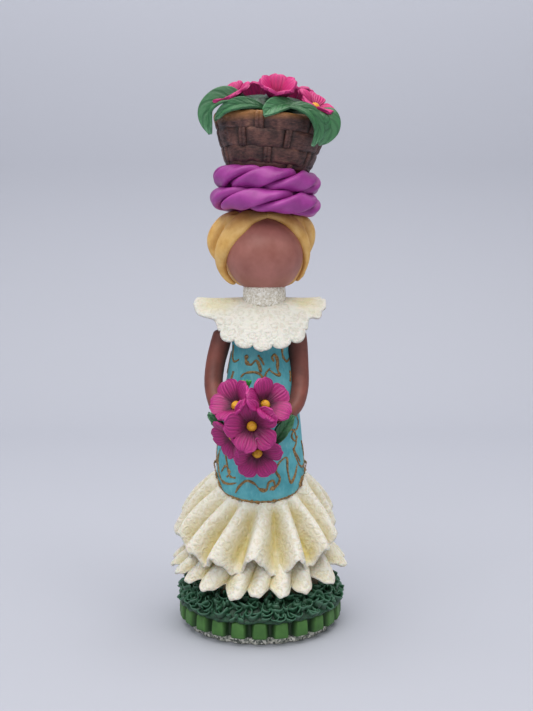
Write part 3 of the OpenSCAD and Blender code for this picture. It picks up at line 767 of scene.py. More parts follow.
# Lace clays: the clay's colour, a darker colour painted as shade in the lace's hollows, and a yellowish
# colour painted as shade deep in the folds.
FLOUNCE_CLAY = lace_clay("lace_pressed_cream_clay", "eae7dc", "dcd6c2", "d0c078")
COLLAR_CLAY = lace_clay("lace_pressed_white_clay", "dbdad3", "cccabf", "cfc79c")
GLITTER = silver_glitter()
CHOKER_LACE = glitter_lace()
BASKET_CLAY = basket_clay()
STEEL = drawn_steel()
# Petals and leaves: colours from painted shade at the root to a painted highlight at the tip, colour of the
# painted shade in the grooves, their number and slant, roughness.
BUNCH_PETAL = [(0.0, "2a0519"), (0.3, "3d0626"), (0.44, "7d104e"), (0.58, "aa1a70"), (1.0, "c02f88")]
PETAL_CLAY = veined("veined_magenta_clay", BUNCH_PETAL, "7d1257", 44.0, 0.0, 0.52)
BASKET_PETAL = [(0.0, "4d0830"), (0.3, "85104a"), (0.5, "bb1a68"), (0.8, "cc2478"), (1.0, "d43685")]
BRIGHT_PETAL_CLAY = veined("veined_pink_clay", BASKET_PETAL, "a01c66", 40.0, 0.0, 0.5)
LEAF = [(0.0, "204d2d"), (0.3, "2d6039"), (0.6, "397348"), (0.85, "488157"), (1.0, "6a9f79")]
LEAF_CLAY = veined("veined_green_clay", LEAF, "2a5a3a", 16.0, -34.0, 0.42)


# ---------------------------------------------------------------- base


def scalloped_foot():
    high = corners("foot_plate")[1]
    reach = high.x + 0.1

    def edge(inset, z):
        def radius(w):
            lobe = abs(math.cos(math.radians(FLUTES / 2 * (w - FRONT))))
            return reach - inset - 0.8 * (1 - lobe**0.55) + 0.12 * wobble((w / 9, z, 3), 1)

        return level_ring(z, radius, FLUTES * 10)

    levels = [(3.0, 0.0), (0.6, 0.0), (0.12, 0.25), (0.0, 0.8), (0.05, 1.6)]
    levels += [(0.3, high.z - 0.12), (1.2, high.z)]
    piece = draw_out("glitter_foot", [edge(inset, z) for inset, z in levels])
    hand_over(piece, GLITTER, "glitter_foot", "foot_plate", angle=50)


def fluted_disc():
    count = FLUTES * 16

    def groove(w):
        turn = (w - FRONT) / (360 / FLUTES) + 0.5
        return math.floor(turn), abs((turn - math.floor(turn)) - 0.5) * 2

    def edge(z, inset, part):
        def radius(w):
            lug, phase = groove(w)
            uneven = 0.16 * wobble((lug * 3.1, 0, 5), 1)
            duty = 0.56 - 0.1 * part
            side = smooth((phase - duty) / (0.86 - duty))
            return DISC_R - inset + uneven - 2.3 * side - 0.1 * math.cos(phase * 3)

        ring = level_ring(z, radius, count)
        for point in ring:
            point.z += 0.25 * part * wobble((point.x, point.y, 0), 5, 2)
        return ring

    top = DISC_HIGH.z
    levels = [(2.5, 3.5, 0), (2.52, 0.9, 0), (2.6, 0.5, 0), (2.8, 0.2, 0), (3.2, 0.04, 0), (4.2, 0.0, 0.1)]
    levels += [(5.4, 0.03, 0.3), (6.4, 0.1, 0.5), (top - 0.9, 0.2, 0.8), (top - 0.5, 0.36, 1)]
    levels += [(top - 0.22, 0.6, 1), (top - 0.06, 1.0, 1), (top, 1.6, 1), (top, 3.0, 1)]
    # Painted shade: how deep each point lies in its groove, for darkening the clay there.
    dark = [smooth((groove(FRONT + 360 * k / count)[1] - 0.5) / 0.3) for k in range(count)]
    rings = [edge(*level) for level in levels]
    piece = draw_out("fluted_disc", rings, shade_marks=[dark] * len(rings))
    hand_over(piece, DISC_CLAY, "disc_green_clay", "base_disc", angle=50)


def curled_ribbon(kind):
    """One curl of grass: a broad thin ribbon, rolled in, bent to an S or waved."""
    chance = random.Random(kind)
    turns = chance.uniform(1.0, 1.6)
    size = chance.uniform(1.5, 2.3)
    tall = chance.uniform(2.0, 2.8)
    way = 1 if kind % 2 else -1

    def middle(t):
        if kind % 4 == 3:
            return Vector((7.5 * (t - 0.5), 1.5 * math.sin(6.5 * t + kind), 0))
        if kind % 4 == 2:
            side = 1 if t < 0.5 else -1
            r = size * 0.62 * (1 - 0.55 * abs(2 * t - 1))
            a = math.radians(300 * abs(2 * t - 1) + 180 * (t < 0.5))
            return Vector((side * size * 0.62 + r * math.cos(a), r * math.sin(a), 0))
        return around(size * lerp(1.0, 0.3, t**0.85), 360 * turns * t * way)

    def shape(u, v):
        t = (u + 1) / 2
        spot = middle(t)
        along = heading(middle, t).normalized()
        out = Vector((along.y, -along.x, 0))
        flare = 0.5 * v * v + 0.25 * v * math.sin(t * 17 + kind)
        height = tall * v * lerp(0.75, 1.1, t) + 0.3 * v * math.sin(t * 14 + kind)
        return spot + out * flare + Vector((0, 0, height))

    piece = press_sheet("curl", 18, 2, shape)
    return thicken(piece, 0.36)


def grass_mound():
    top = GRASS_TOP
    low = DISC_HIGH.z

    def lump(z, r, drape):
        ring = level_ring(z, lambda w: r + 0.3 * wobble(around(r, w, 2 * z), 1.5), 360)
        for point in ring:
            point.z += drape * wobble((point.x, point.y, 0), 3.2, 7)
        return ring

    slope = [(0.12, -3.2, 0), (-0.1, -0.5, 0.4), (-0.15, 0.1, 0.8), (0.3, 0.1, 0.7), (1.2, -0.6, 0.5)]
    slope += [(2.2, -1.2, 0.4), (3.4, -1.8, 0.4), (4.4, -2.8, 0.4), (5.0, -4.2, 0.3), (5.5, -7, 0.2)]
    rings = [lump(low + 0.1, 18, 0)]
    rings += [lump(low + up, DISC_R + out, drape) for up, out, drape in slope]
    rings.append(lump(top, 14, 0))
    piece = draw_out("grass_mound", rings)
    hand_over(piece, MOUND_CLAY, "grass_green_clay", "grass_mound")


# Rows of curls: distance in from the disc's rim, height over the disc, number, outward tip in degrees
CURL_ROWS = [
    (0.2, 0.7, 52, 20), (0.5, 2.2, 52, 22), (1.5, 3.8, 46, 16), (3.8, 5.0, 40, 8), (6.8, 5.6, 32, 0),
]
CURL_KINDS = 8


def grass_curls():
    low = DISC_HIGH.z
    kinds = [curled_ribbon(k) for k in range(CURL_KINDS)]
    chance = random.Random(8)
    made = []
    for row, (inward, up, count, tip) in enumerate(CURL_ROWS):
        r, z = DISC_R - inward, low + up
        for k in range(count):
            kind = chance.randrange(CURL_KINDS)
            w = math.radians(360 * (k + 0.5 * (row % 2)) / count + chance.uniform(-3, 3))
            at = Vector(((r - 1.3) * math.cos(w), (r - 1.3) * math.sin(w), z + chance.uniform(-0.4, 0.4)))
            turn = Matrix.Translation(at) @ Matrix.Rotation(w, 4, "Z")
            turn @= turned("Y", tip + chance.uniform(-16, 16))
            turn @= turned("X", chance.uniform(-18, 18))
            waved = kind % 4 == 3
            spin = math.pi / 2 + chance.uniform(-0.35, 0.35) if waved else chance.uniform(0, math.tau)
            turn @= Matrix.Rotation(spin, 4, "Z")
            made.append(copy_of(kinds[kind], turn))
    throw_away(*kinds)
    piece = gather("grass_curls", made)
    hand_over(piece, GRASS_CLAY, "grass_green_clay", "grass_curls")


# ---------------------------------------------------------------- skirt


# Crests of the pleats: angles from the front at the top and at the edge, then the edge's reach and height.
UPPER_FOLDS = [
    (-175, -175, 27.6, 37.0), (-151, -151, 28.2, 37.6), (-129, -129, 28.0, 37.6), (-106, -108, 27.6, 35.6),
    (-82, -90, 28.6, 30.6), (-64, -72, 28.2, 31.6), (-43, -53, 29.4, 28.8), (-20, -34, 29.0, 27.2),
    (4, -7, 28.6, 28.4), (29, 25, 28.2, 27.0), (49, 49, 28.4, 29.2), (68, 66, 27.0, 31.2),
    (92, 90, 25.0, 32.4),
    (114, 113, 27.0, 35.6), (137, 136, 27.4, 37.0), (161, 161, 27.6, 37.0),
]


LOWER_FOLDS = [
    (-168, -180, 28.0, 17.6), (-151, -163, 28.2, 17.8), (-134, -146, 28.4, 18.2), (-117, -129, 28.6, 18.8),
    (-101, -113, 29.0, 19.6), (-86, -98, 29.4, 20.2), (-71, -83, 29.6, 19.6), (-57, -69, 29.4, 18.8),
    (-42, -54, 29.4, 18.0), (-27, -39, 29.2, 17.0), (-5, -17, 28.8, 15.4), (9, -3, 28.4, 16.6),
    (25, 14, 28.2, 16.2), (40, 30, 28.0, 16.4), (62, 55, 28.2, 17.0), (90, 79, 29.0, 19.8),
    (108, 97, 28.6, 20.2), (125, 114, 28.4, 19.4), (143, 132, 28.2, 18.4), (160, 148, 28.0, 17.8),
]


def hem_height(w):
    """Height of the dress's hem at an angle from the front; it climbs towards the sides."""
    return HEM_Z + curve_through([-1.4, -0.9, 0.5, 1.6, 2.2, 2.4, 2.4], off_front(w) / 180)


# Reach and height of the lower flounce's top edge, hidden under the upper one
UNDER_TOP = (17.4, 29.6)


def hem_aside(w):
    """How far an angle from the front is round the side of the hem, 0 to 1."""
    return smooth((off_front(w) - 52) / 34)


def skirt_top(w):
    """Reach and height of the upper flounce's top edge: under the hem in front, up the dress behind."""
    aside = hem_aside(w)
    return lerp(12.9, 15.0, aside), lerp(hem_height(w) + 0.4, HEM_Z + 5.8, aside)


def flounce(name, folds, top, hollow, crest_power, lobe, thickness, lay):
    """A gathered clay flounce. top gives (radius, height) of its upper edge at an angle from the front.
    hollow is how far a hollow's edge stands inside and below its crests, crest_power how narrow a crest
    is at top and edge, lobe the depth and spacing of the scallops; lay leans the pleats to one side."""
    steps = 18
    rows = 14
    wide = len(folds)
    rings, shade_marks = [], []
    for i in range(rows + 1):
        v = i / rows
        ring, shade_mark = [], []
        for k in range(wide * steps):
            n, s = divmod(k, steps)
            s /= steps
            here, there = folds[n], folds[(n + 1) % wide]
            turn = 360 * (n + 1 == wide)
            top_w = lerp(here[0], there[0] + turn, s)
            edge_w = lerp(here[1], there[1] + turn, s)
            w = lerp(top_w, edge_w, v**0.9)
            gap = there[1] + turn - here[1]
            crest = abs(math.cos(math.pi * s**lay)) ** lerp(crest_power[0], crest_power[1], v)
            reach, edge_z = lerp(here[2], there[2], smooth(s)), lerp(here[3], there[3], smooth(s))
            deep = min(1.15, gap / 24)
            edge_r = reach - hollow[0] * deep * (1 - crest)
            edge_z -= hollow[1] * deep * (1 - crest)
            top_r, top_z = top(w)
            top_r -= 0.4 * (1 - crest)
            r = lerp(top_r, edge_r, v) + (0.8 * crest - 1.3 * (1 - crest) * deep) * math.sin(math.pi * v)
            z = lerp(top_z, edge_z, v) + 0.7 * crest * math.sin(math.pi * v)
            scallop = 1 - abs(math.sin(math.pi * edge_w / lobe[1])) ** 1.5
            z -= lobe[0] * (scallop * smooth(6 * v - 5) - 0.5 * v)
            r += 0.22 * wobble((w / 4, v * 4, wide), 1) + 0.2 * smooth(14 * v - 13)
            ring.append(around(r, FRONT + w, z))
            # Painted shade: yellowish tint deep in the hollows between the crests.
            shade_mark.append((1 - crest) ** 0.6 * smooth(v * 4) * (1 - 0.85 * smooth(v * 9 - 8)))
        rings.append(ring)
        shade_marks.append(shade_mark)
    piece = draw_out(name, rings, capped=False, shade_marks=shade_marks)
    thicken(piece, thickness)
    hand_over(piece, FLOUNCE_CLAY, "cream_clay", name)


def hem_gathers():
    """Upper flounce from the dress's hem, lower flounce from under it."""
    flounce("upper_flounce", UPPER_FOLDS, skirt_top, (4.0, 5.2), (1.3, 3.8), (1.5, 7.2), 1.1, 1.45)
    flounce(
        "lower_flounce", LOWER_FOLDS, lambda w: UNDER_TOP, (6.2, -3.0), (0.7, 1.0), (0.6, 6.3), 1.15, 1.2
    )


# ---------------------------------------------------------------- dress


def dress_radius(z):
    h = min(max((z - HEM_Z) / (0.77 * (SHOULDER_Z - HEM_Z)), 0), 1)
    return 9.3 + 5.3 * (1 - h**2.2) ** 1.15


def dress():
    lip = [(0.5, 9.5), (0.1, 11.4), (0, 12.2), (0.05, 12.8), (0.3, 13.3), (0.7, 13.75)]
    lip += [(1.2, 14.1), (1.8, 14.36)]
    levels = [(HEM_Z + up, r) for up, r in lip]
    for k in range(1, 41):
        z = lerp(HEM_Z + 2.4, SHOULDER_Z - 9, k / 40)
        levels.append((z, dress_radius(z)))
    for k in range(1, 13):
        w = math.radians(7.5 * k)
        levels.append((SHOULDER_Z - 9 + 9 * math.sin(w), lerp(7.6, 9.3, math.cos(w))))
    rings = []
    for z, r in levels:
        ring = level_ring(z, lambda w, z=z, r=r: r + 0.14 * wobble(around(12, w, z), 6), 180)
        for k, point in enumerate(ring):
            point.z += 0.85 * (hem_height(2 * k) - HEM_Z) * (1 - smooth((z - HEM_Z) / 16))
        rings.append(ring)
    piece = draw_out("turquoise_dress", rings)
    hand_over(piece, DRESS_CLAY, "turquoise_clay", "dress_shell", angle=60)


# Raised threads on the dress: lists of (degrees from the front, height in millimetres, half-width)
SCROLLS = [
    [(-66, 93, 0.5), (-68, 89.5, 0.7), (-57, 87.6, 0.6), (-43, 88.6, 0.35)],
    [(-26, 90.2, 0.8), (-27, 88, 1.0), (-17, 87, 0.6), (-8, 88.4, 0.5), (-2, 87.2, 0.9), (2, 84.6, 0.8)],
    [(-4, 90.2, 0.5), (2, 88.8, 0.6), (8, 86.8, 0.35)],
    [
        (27, 87.8, 0.6), (24, 89.4, 0.7), (31, 90, 0.8), (35, 88, 0.9), (33, 85.4, 0.7), (36, 83.6, 0.9),
        (27, 84, 0.5), (17, 85.4, 0.4),
    ],
    [
        (-35, 82.8, 0.4), (-27, 84.2, 0.6), (-10, 84.7, 0.6), (2, 83.8, 0.8), (7, 81.6, 0.8),
        (10, 84.2, 0.5), (19, 86, 0.4),
    ],
    [(-54, 84.6, 0.9), (-56, 82.8, 0.8), (-61, 81, 0.6)],
    [(-75, 57, 0.5), (-70, 52.6, 0.6), (-60, 49.2, 0.6), (-46, 48.4, 0.6), (-31, 49.2, 0.4)],
    [(-53, 59, 0.5), (-47, 54.6, 0.6), (-42, 51.2, 0.6), (-32, 50.8, 0.4)],
    [
        (-33, 45.8, 0.6), (-27, 48.2, 0.7), (-17, 50.2, 0.6), (-7, 49.4, 0.6), (0, 47.6, 0.7),
        (8, 47.4, 0.7), (11, 49.6, 0.6), (17, 50.2, 0.6), (19, 48.2, 0.7), (13, 47.6, 1.0),
    ],
    [
        (12, 47.2, 0.5), (22, 48.6, 0.6), (26, 50.8, 0.6), (21, 53.2, 0.5), (26, 56, 0.5),
        (37, 57.2, 0.5), (38, 53, 0.5), (43, 49, 0.8), (51, 51, 0.8), (57, 54.6, 0.4),
    ],
    [
        (39, 64.8, 0.4), (48, 66, 0.5), (56, 64.6, 0.5), (57, 61.6, 0.4), (51, 59.2, 0.8), (58, 57, 0.5),
        (66, 54.6, 0.4),
    ],
    [(64, 70.4, 0.4), (69, 67.8, 0.4), (60, 65.6, 0.4), (47, 65.8, 0.3)],
    [(-62, 66, 0.4), (-70, 63.4, 0.5), (-63, 60.6, 0.5), (-56, 63, 0.4)],
    [(60, 47.2, 0.5), (70, 49.6, 0.6), (78, 47.6, 0.6), (72, 46, 0.5)],
]


def follow_dress(degrees, z, proud):
    """Point on the dress at an angle from the front, standing proud of it in millimetres."""
    low = smooth(1 - (z - hem_height(degrees)) / 2.4)
    return around(dress_radius(z) - 1.2 * low + proud, FRONT + degrees, z)


def bronze_threads():
    made = []
    strokes = [(stroke, 0, 0) for stroke in SCROLLS]
    for k, stroke in enumerate(SCROLLS):
        strokes.append((stroke, 118 + 3 * (k % 4), 0.6 * (k % 3) + 4.4))
        strokes.append((stroke, 236 + 4 * (k % 3), 5.0 - 0.5 * (k % 3)))
    for n, (stroke, shift, lift) in enumerate(strokes):
        spots = [Vector((a + shift, z + lift * smooth((66 - z) / 14), half)) for a, z, half in stroke]
        steps = 7 * (len(spots) - 1)

        def path(t, spots=spots):
            spot = curve_through(spots, t)
            return follow_dress(spot.x, spot.y, 0.04)

        def half(t, spots=spots, n=n):
            return max(0.14, 0.66 * curve_through(spots, t).z * (1 + 0.9 * wobble((t * 9, n, 0), 1)))

        rings = []
        for i in range(steps + 1):
            t = i / steps
            end = end_taper(t, 0.1)
            along = heading(path, t)
            out = Vector((path(t).x, path(t).y, 0)).normalized()
            rings.append(oval(path(t), along, along.cross(out), half(t) * end, 0.28 * end, 8))
        made.append(draw_out("thread", rings))

    def hem(w):
        turn = w - FRONT
        aside = hem_aside(turn)
        z = lerp(hem_height(turn) + 0.7, HEM_Z + 6.9, aside) + 0.35 * wobble((w / 9, 2, 0), 1)
        return follow_dress(turn, z, 0.1) * (1 + 0.045 * aside)

    rings = []
    for k in range(300):
        w = FRONT + 360 * k / 300
        along = hem(w + 1) - hem(w - 1)
        along.z *= 0.5
        thick = 0.3 + 0.42 * wobble((w / 4, 7, 0), 1) + 0.22 * wobble((w / 1.6, 1, 0), 1)
        rings.append(oval(hem(w), along, (0, 0, 1), max(0.12, 1.3 * thick), max(0.12, 0.6 * thick), 8))
    made.append(draw_out("hem_thread", rings, closed=True))
    chance = random.Random(4)
    for k in range(46):
        w = FRONT + 360 * (k + chance.uniform(-0.4, 0.4)) / 46
        spot = hem(w) + Vector((0, 0, chance.uniform(-0.8, 0.6)))
        let_go()
        size = chance.uniform(0.2, 0.48) * MM
        bpy.ops.mesh.primitive_ico_sphere_add(subdivisions=2, radius=size, location=spot * MM)
        made.append(bpy.context.object)
    piece = gather("bronze_threads", made)
    hand_over(piece, BRONZE, "bronze_trim", "hem_trim")


# ---------------------------------------------------------------- arms


def arm(side, node, tip, elbow):
    """An arm bent to the front, with a mitten hand, four short fingers and a thumb; elbow is its reach."""
    shoulder = corners(node)[1].z - 2.2
    spots = [
        Vector((side * 11.9, 0.3, shoulder)),
        Vector((side * lerp(12.0, elbow, 0.35), 0.2, shoulder - 4.5)),
        Vector((side * lerp(12.0, elbow, 0.85), -0.8, shoulder - 11)),
        Vector((side * elbow, -3.6, shoulder - 17.5)),
        Vector((side * (elbow - 1.2), -8.4, shoulder - 22.8)),
        Vector((lerp(side * (elbow - 1.2), tip[0], 0.55), -13.0, shoulder - 25.6)),
        Vector(tip),
    ]

    def path(t):
        return curve_through(spots, t)

    def thick(t):
        return curve_through([3.1, 3.3, 3.15, 3.0, 2.65, 2.25, 2.3], t)

    def flat(t):
        return thick(t) * lerp(1.0, 0.8, smooth(4 * t - 3))

    rings = strand_rings(path, (0, 1, 0), thick, flat, 30, 20, 0.07)
    made = [draw_out("arm", rings)]
    aim = (path(1) - path(0.94)).normalized()
    across = aim.cross(Vector((-side * 0.2, -0.4, 0.9))).normalized()
    up = across.cross(aim)
    for k in range(5):
        thumb = k == 4
        root = path(0.985) + up * ((k - 1.5) * 0.95)
        if thumb:
            root = path(0.96) + up * 1.8 - across * side * 0.6
        reach = (2.6, 3.0, 2.9, 2.4, 2.2)[k]
        bend = (up * 0.9 + aim * 0.6) if thumb else aim
        end = root + bend.normalized() * reach - Vector((0, 0.5, 0))
        rings = strand_rings(lambda t: root.lerp(end, t), up, lambda t: 0.72, lambda t: 0.7, 8, 8, 0.3)
        made.append(draw_out("finger", rings))
    piece = gather(node, made)
    hand_over(piece, ARM_CLAY, "arm_brown_clay", node)


# ---------------------------------------------------------------- neck, collar


def choker():
    centre = ((CHOKER_LOW.x + CHOKER_HIGH.x) / 2, 0)
    r = (CHOKER_HIGH.x - CHOKER_LOW.x) / 2
    low, high = CHOKER_LOW.z - 1.9, CHOKER_HIGH.z
    rings = []
    levels = [(0, 1.3), (0, 0.2), (0.05, -0.05), (0.3, -0.1), (0.5, -0.05), (0.7, -0.1)]
    for v, inset in levels + [(0.95, 0.05), (1, 0.3), (1, 1.3)]:
        ring = level_ring(lerp(low, high, v), lambda w: r - inset, 132, centre)
        for k, point in enumerate(ring):
            edge = abs(v - 0.5) * 2
            point.z += (0.28 if v > 0.5 else -0.28) * edge**4 * abs(math.sin(math.pi * k / 6))
            out = Vector((point.x - centre[0], point.y, 0)).normalized()
            point += out * (0.16 * wobble(point, 0.9, 3) + 0.1 * math.sin(math.pi * k / 3) * (1 - edge))
        rings.append(ring)
    piece = draw_out("choker", rings, closed=True)
    soften(piece)
    hand_over(piece, CHOKER_LACE, "lace_choker", "choker_band")


# Collar's edge from the chest round one shoulder to the back: reach from the axis, height over the shoulder
COLLAR_REACH = [16.9, 17.0, 17.0, 17.2, 17.4, 20.6, 21.7, 21.3, 19.6, 17.8, 16.8, 16.4, 16.2]
COLLAR_EDGE = [-12.7, -12.2, -11.3, -10.0, -7.4, -2.8, 1.0, 2.4, -0.6, -4.6, -7.0, -8.2, -8.8]


def collar():
    count, rows, lobes = 320, 14, 16
    rings, shade_marks = [], []
    for i in range(rows + 1):
        v = i / rows
        ring, shade_mark = [], []
        for k in range(count):
            w = FRONT + 360 * k / count
            from_front = off_front(w - FRONT) / 180
            side = smooth(1.6 - abs(from_front - 0.52) * 8)
            sign = 1 if math.cos(math.radians(w)) > 0 else -1
            turn = lobes * (w - FRONT) / 360 + 0.5
            lobe = math.sqrt(max(0, 1 - (2 * (turn - math.floor(turn)) - 1) ** 2))
            rim = smooth(3 * v - 2)
            reach = curve_through(COLLAR_REACH, from_front) + 1.3 * (lobe - 0.8) * rim * (1 - 0.5 * side)
            edge = SHOULDER_Z + curve_through(COLLAR_EDGE, from_front)
            edge -= 1.5 * (lobe - 0.8) * rim * (1 - side)
            edge += 0.4 * wobble((w / 20, 5 * sign, 0), 1) * v
            notch = math.exp(-(((from_front - 0.365) / 0.03) ** 2)) * rim
            reach -= 1.8 * notch
            edge += 2.2 * notch
            start_z = SHOULDER_Z + lerp(0.4, 2.6, smooth(1.6 * from_front))
            r = lerp(6.4, reach, v)
            fall = v ** lerp(1.08, 1.6, side)
            lift = lerp(1.1, 0.0, side) * math.sin(math.pi * v)
            wave = side * v * (0.5 * math.sin(math.radians(26 * w)) - 0.5 * math.sin(math.pi * v))
            lean = HEAD.x * (1 - v * lerp(0.35, 1.1, side))
            ring.append(around(r, w, lerp(start_z, edge, fall) + lift + wave) + Vector((lean, 0, 0)))
            # Painted shade: yellowish tint in the wings' hollows and near the neck.
            shade_mark.append(0.8 * side * math.sin(math.pi * v) + 0.2 * (1 - v))
        rings.append(ring)
        shade_marks.append(shade_mark)
    piece = draw_out("lace_collar", rings, capped=False, shade_marks=shade_marks)
    thicken(piece, 0.9)
    hand_over(piece, COLLAR_CLAY, "cream_clay", "collar")


# ---------------------------------------------------------------- head and wrap


def head():
    let_go()
    bpy.ops.mesh.primitive_uv_sphere_add(segments=64, ring_count=40, radius=HEAD_R * MM, location=HEAD * MM)
    piece = bpy.context.object
    piece.name = "smooth_head"
    take(piece)
    bpy.ops.object.transform_apply(location=True, rotation=True, scale=True)
    for vert in piece.data.vertices:
        out = (vert.co / MM - HEAD).normalized()
        vert.co += out * (0.12 * wobble(vert.co / MM, 8, 6)) * MM
    hand_over(piece, FACE_CLAY, "face_brown_clay", "head")


# Bands of the wrap: front edge and back edge from the head's centre, thickness, number of rings
WRAP = {
    "wrap_left_inner": (
        [
            (2.6, -5.2, 12.2), (-2.8, -7.4, 10.3), (-5.9, -8.8, 7.3), (-9.0, -8.0, 4.0),
            (-11.4, -5.6, 0.4), (-12.6, -1.9, -2.9), (-12.2, 0.3, -5.8), (-10.8, 1.3, -8.2),
            (-9.2, 2.0, -9.6),
        ],
        [
            (0.5, -1.0, 13.6), (-6.6, -1.6, 13.4), (-11.2, -1.2, 9.8), (-14.2, -0.6, 5.4),
            (-15.6, 0.2, 1.0), (-15.4, 1.0, -3.2), (-14.0, 1.8, -6.7), (-12.0, 2.4, -8.9),
            (-10.0, 2.8, -10.0),
        ],
        [0.9, 1.25, 1.35, 1.35, 1.3, 1.2, 1.0, 0.8, 0.45],
        34,
    ),
    "wrap_right_inner": (
        [
            (-2.2, -4.6, 12.3), (3.0, -6.2, 11.4), (6.8, -6.2, 9.5), (10.0, -5.2, 6.4),
            (12.0, -3.2, 2.9), (12.8, -0.6, -0.8), (12.5, 0.8, -4.2), (11.2, 1.6, -7.2),
            (10.2, 2.0, -8.6),
        ],
        [
            (1.0, -1.6, 13.4), (6.2, -1.8, 13.0), (10.0, -1.2, 11.0), (12.6, -0.6, 7.9),
            (14.1, 0.0, 3.8), (14.5, 0.8, -0.4), (13.6, 1.6, -4.4), (12.0, 2.2, -7.6), (10.6, 2.6, -8.9),
        ],
        [0.8, 1.1, 1.2, 1.2, 1.1, 1.0, 0.9, 0.7, 0.4],
        34,
    ),
    "wrap_left_outer": (
        [
            (-6.8, 1.7, 12.8), (-11.0, 2.0, 11.2), (-14.2, 2.4, 7.7), (-16.1, 3.0, 3.8),
            (-16.0, 3.9, 0.2), (-14.0, 4.4, -3.0),
        ],
        [
            (-9.6, 7.4, 13.0), (-13.8, 7.8, 11.0), (-16.8, 7.6, 7.2), (-17.4, 7.4, 3.8),
            (-16.1, 7.0, 0.2), (-14.0, 6.6, -3.0),
        ],
        [1.4, 1.8, 1.9, 1.8, 1.5, 0.9],
        26,
    ),
    "wrap_right_outer": (
        [
            (6.8, 1.7, 12.6), (10.6, 2.1, 11.2), (13.3, 2.4, 8.3), (14.6, 3.0, 4.6), (14.1, 3.9, 1.4),
            (12.9, 4.4, -1.4),
        ],
        [
            (9.2, 7.2, 12.8), (13.8, 7.4, 10.6), (15.6, 7.4, 7.2), (15.1, 7.2, 3.8), (13.9, 6.8, 1.2),
            (12.8, 6.6, -1.4),
        ],
        [1.3, 1.7, 1.8, 1.6, 1.3, 0.8],
        26,
    ),
}


def wrap_band(name, fronts, backs, thick, steps):
    """A band of the wrap between its front edge and its back edge, both measured from the head's centre."""
    fronts = [Vector(p) for p in fronts]
    backs = [Vector(p) for p in backs]
    rings = []
    count = 20
    for i in range(steps + 1):
        t = i / steps
        front, back = curve_through(fronts, t), curve_through(backs, t)
        middle, half = (front + back) / 2, (back - front) / 2
        end = end_taper(t, 0.06, 0.03)
        out = middle.normalized()
        wide = half.normalized()
        out = (out - wide * out.dot(wide)).normalized()
        deep = curve_through(thick, t) * end
        ring = []
        for k in range(count):
            w = (k + 0.5) * math.tau / count
            c = math.copysign(abs(math.cos(w)) ** 0.72, math.cos(w))
            s = math.copysign(abs(math.sin(w)) ** 0.62, math.sin(w))
            spot = half * (c * lerp(0.5, 1, end)) + out * deep * (s + 0.3 * (1 - c * c))
            ring.append(HEAD + middle + spot)
        rings.append(ring)
    piece = draw_out(name, rings)
    soften(piece)
    hand_over(piece, WRAP_CLAY, "mustard_clay", name)


def wrap_bands():
    for name, shape in WRAP.items():
        wrap_band(name, *shape)


# Hood behind the head: height from the head's centre, half-width, foremost and rearmost y
HOOD = [
    (-10.6, 7.0, 0.6, 8.0),
    (-9.6, 9.4, 0.2, 11.0),
    (-7.0, 11.6, -1.2, 13.6),
    (-2.5, 13.2, -4.0, 15.2),
    (2.5, 13.8, -5.6, 15.8),
    (7.5, 13.8, -5.2, 15.6),
    (11.0, 13.4, -4.4, 14.8),
    (12.6, 12.4, -4.0, 13.4),
    (13.1, 10.0, -3.0, 11.0),
]


def hood():
    spots = [Vector(level) for level in HOOD]
    rings = []
    for i in range(57):
        z, half, near, far = curve_through(spots, i / 56)
        middle = (near + far) / 2
        ring = []
        for k in range(180):
            w = k * math.tau / 180
            x, y = half * math.cos(w), middle + (far - near) / 2 * math.sin(w)
            rear = smooth((math.sin(w) + 0.1) / 0.7)
            turn = math.degrees(w) * 0.9 + z * 6.5
            crease = abs(math.sin(math.radians(turn * 1.6)))
            out = Vector((math.cos(w), math.sin(w), 0))
            push = rear * (1.3 * crease**0.7 - 0.7)
            ring.append(HEAD + Vector((x, y, z)) + out * push + Vector((0, 0, 0.08 * rear * crease)))
        rings.append(ring)
    top = CROWN.inverted()
    for ring in rings:
        for point in ring:
            local = top @ point
            if local.z > -0.1:
                local.z = -0.1
                point.xyz = CROWN @ local
    made = [draw_out("hood", rings)]
    sweep = [(13.2, 6.4, -5.5), (9.5, 13.2, -3.0), (0.5, 17.0, 1.5), (-8.6, 14.2, 6.2), (-12.4, 8.4, 9.6)]
    sweep = [Vector(p) for p in sweep]

    def path(t):
        return HEAD + curve_through(sweep, t)

    rings = strand_rings(path, (0, 0.2, 1), lambda t: 3.1, lambda t: 1.15, 30, 16, 0.08)
    made.append(draw_out("back_band", rings))
    piece = gather("wrap_hood", made)
    hand_over(piece, WRAP_CLAY, "mustard_clay", "wrap_hood")


# ---------------------------------------------------------------- rope rings


def rope_strand(name, ring_r, ring_z, turns, start, seed):
    """One of two strands twisted together and bent into a ring; they press flat against each other."""
    steps = 110
    wide = 1.08
    rings = []
    for i in range(steps + 1):
        t = i / steps
        w = 91 + 358 * t
        turn = math.radians(start + turns * 360 * t)
        c, s = math.cos(turn), math.sin(turn)
        end = end_taper(t, 0.012)
        swell = 1 + 0.015 * wobble((t * 14, seed, 0), 1)
        ring = []
        for k in range(18):
            a = math.tau * (k + 0.5) / 18
            p = ROPE_R * (0.47 + 0.53 * math.cos(a)) * swell
            p = max(p, 0.04)
            q = ROPE_R * 0.94 * math.copysign(abs(math.sin(a)) ** 0.92, math.sin(a)) * end
            x, z = wide * (p * c - q * s), p * s + q * c
            ring.append(CROWN @ around(ring_r + x, w, ring_z + z))
        rings.append(ring)
    piece = draw_out(name, rings)
    soften(piece)
    hand_over(piece, ROPE_CLAY, "rope_magenta_clay", name)


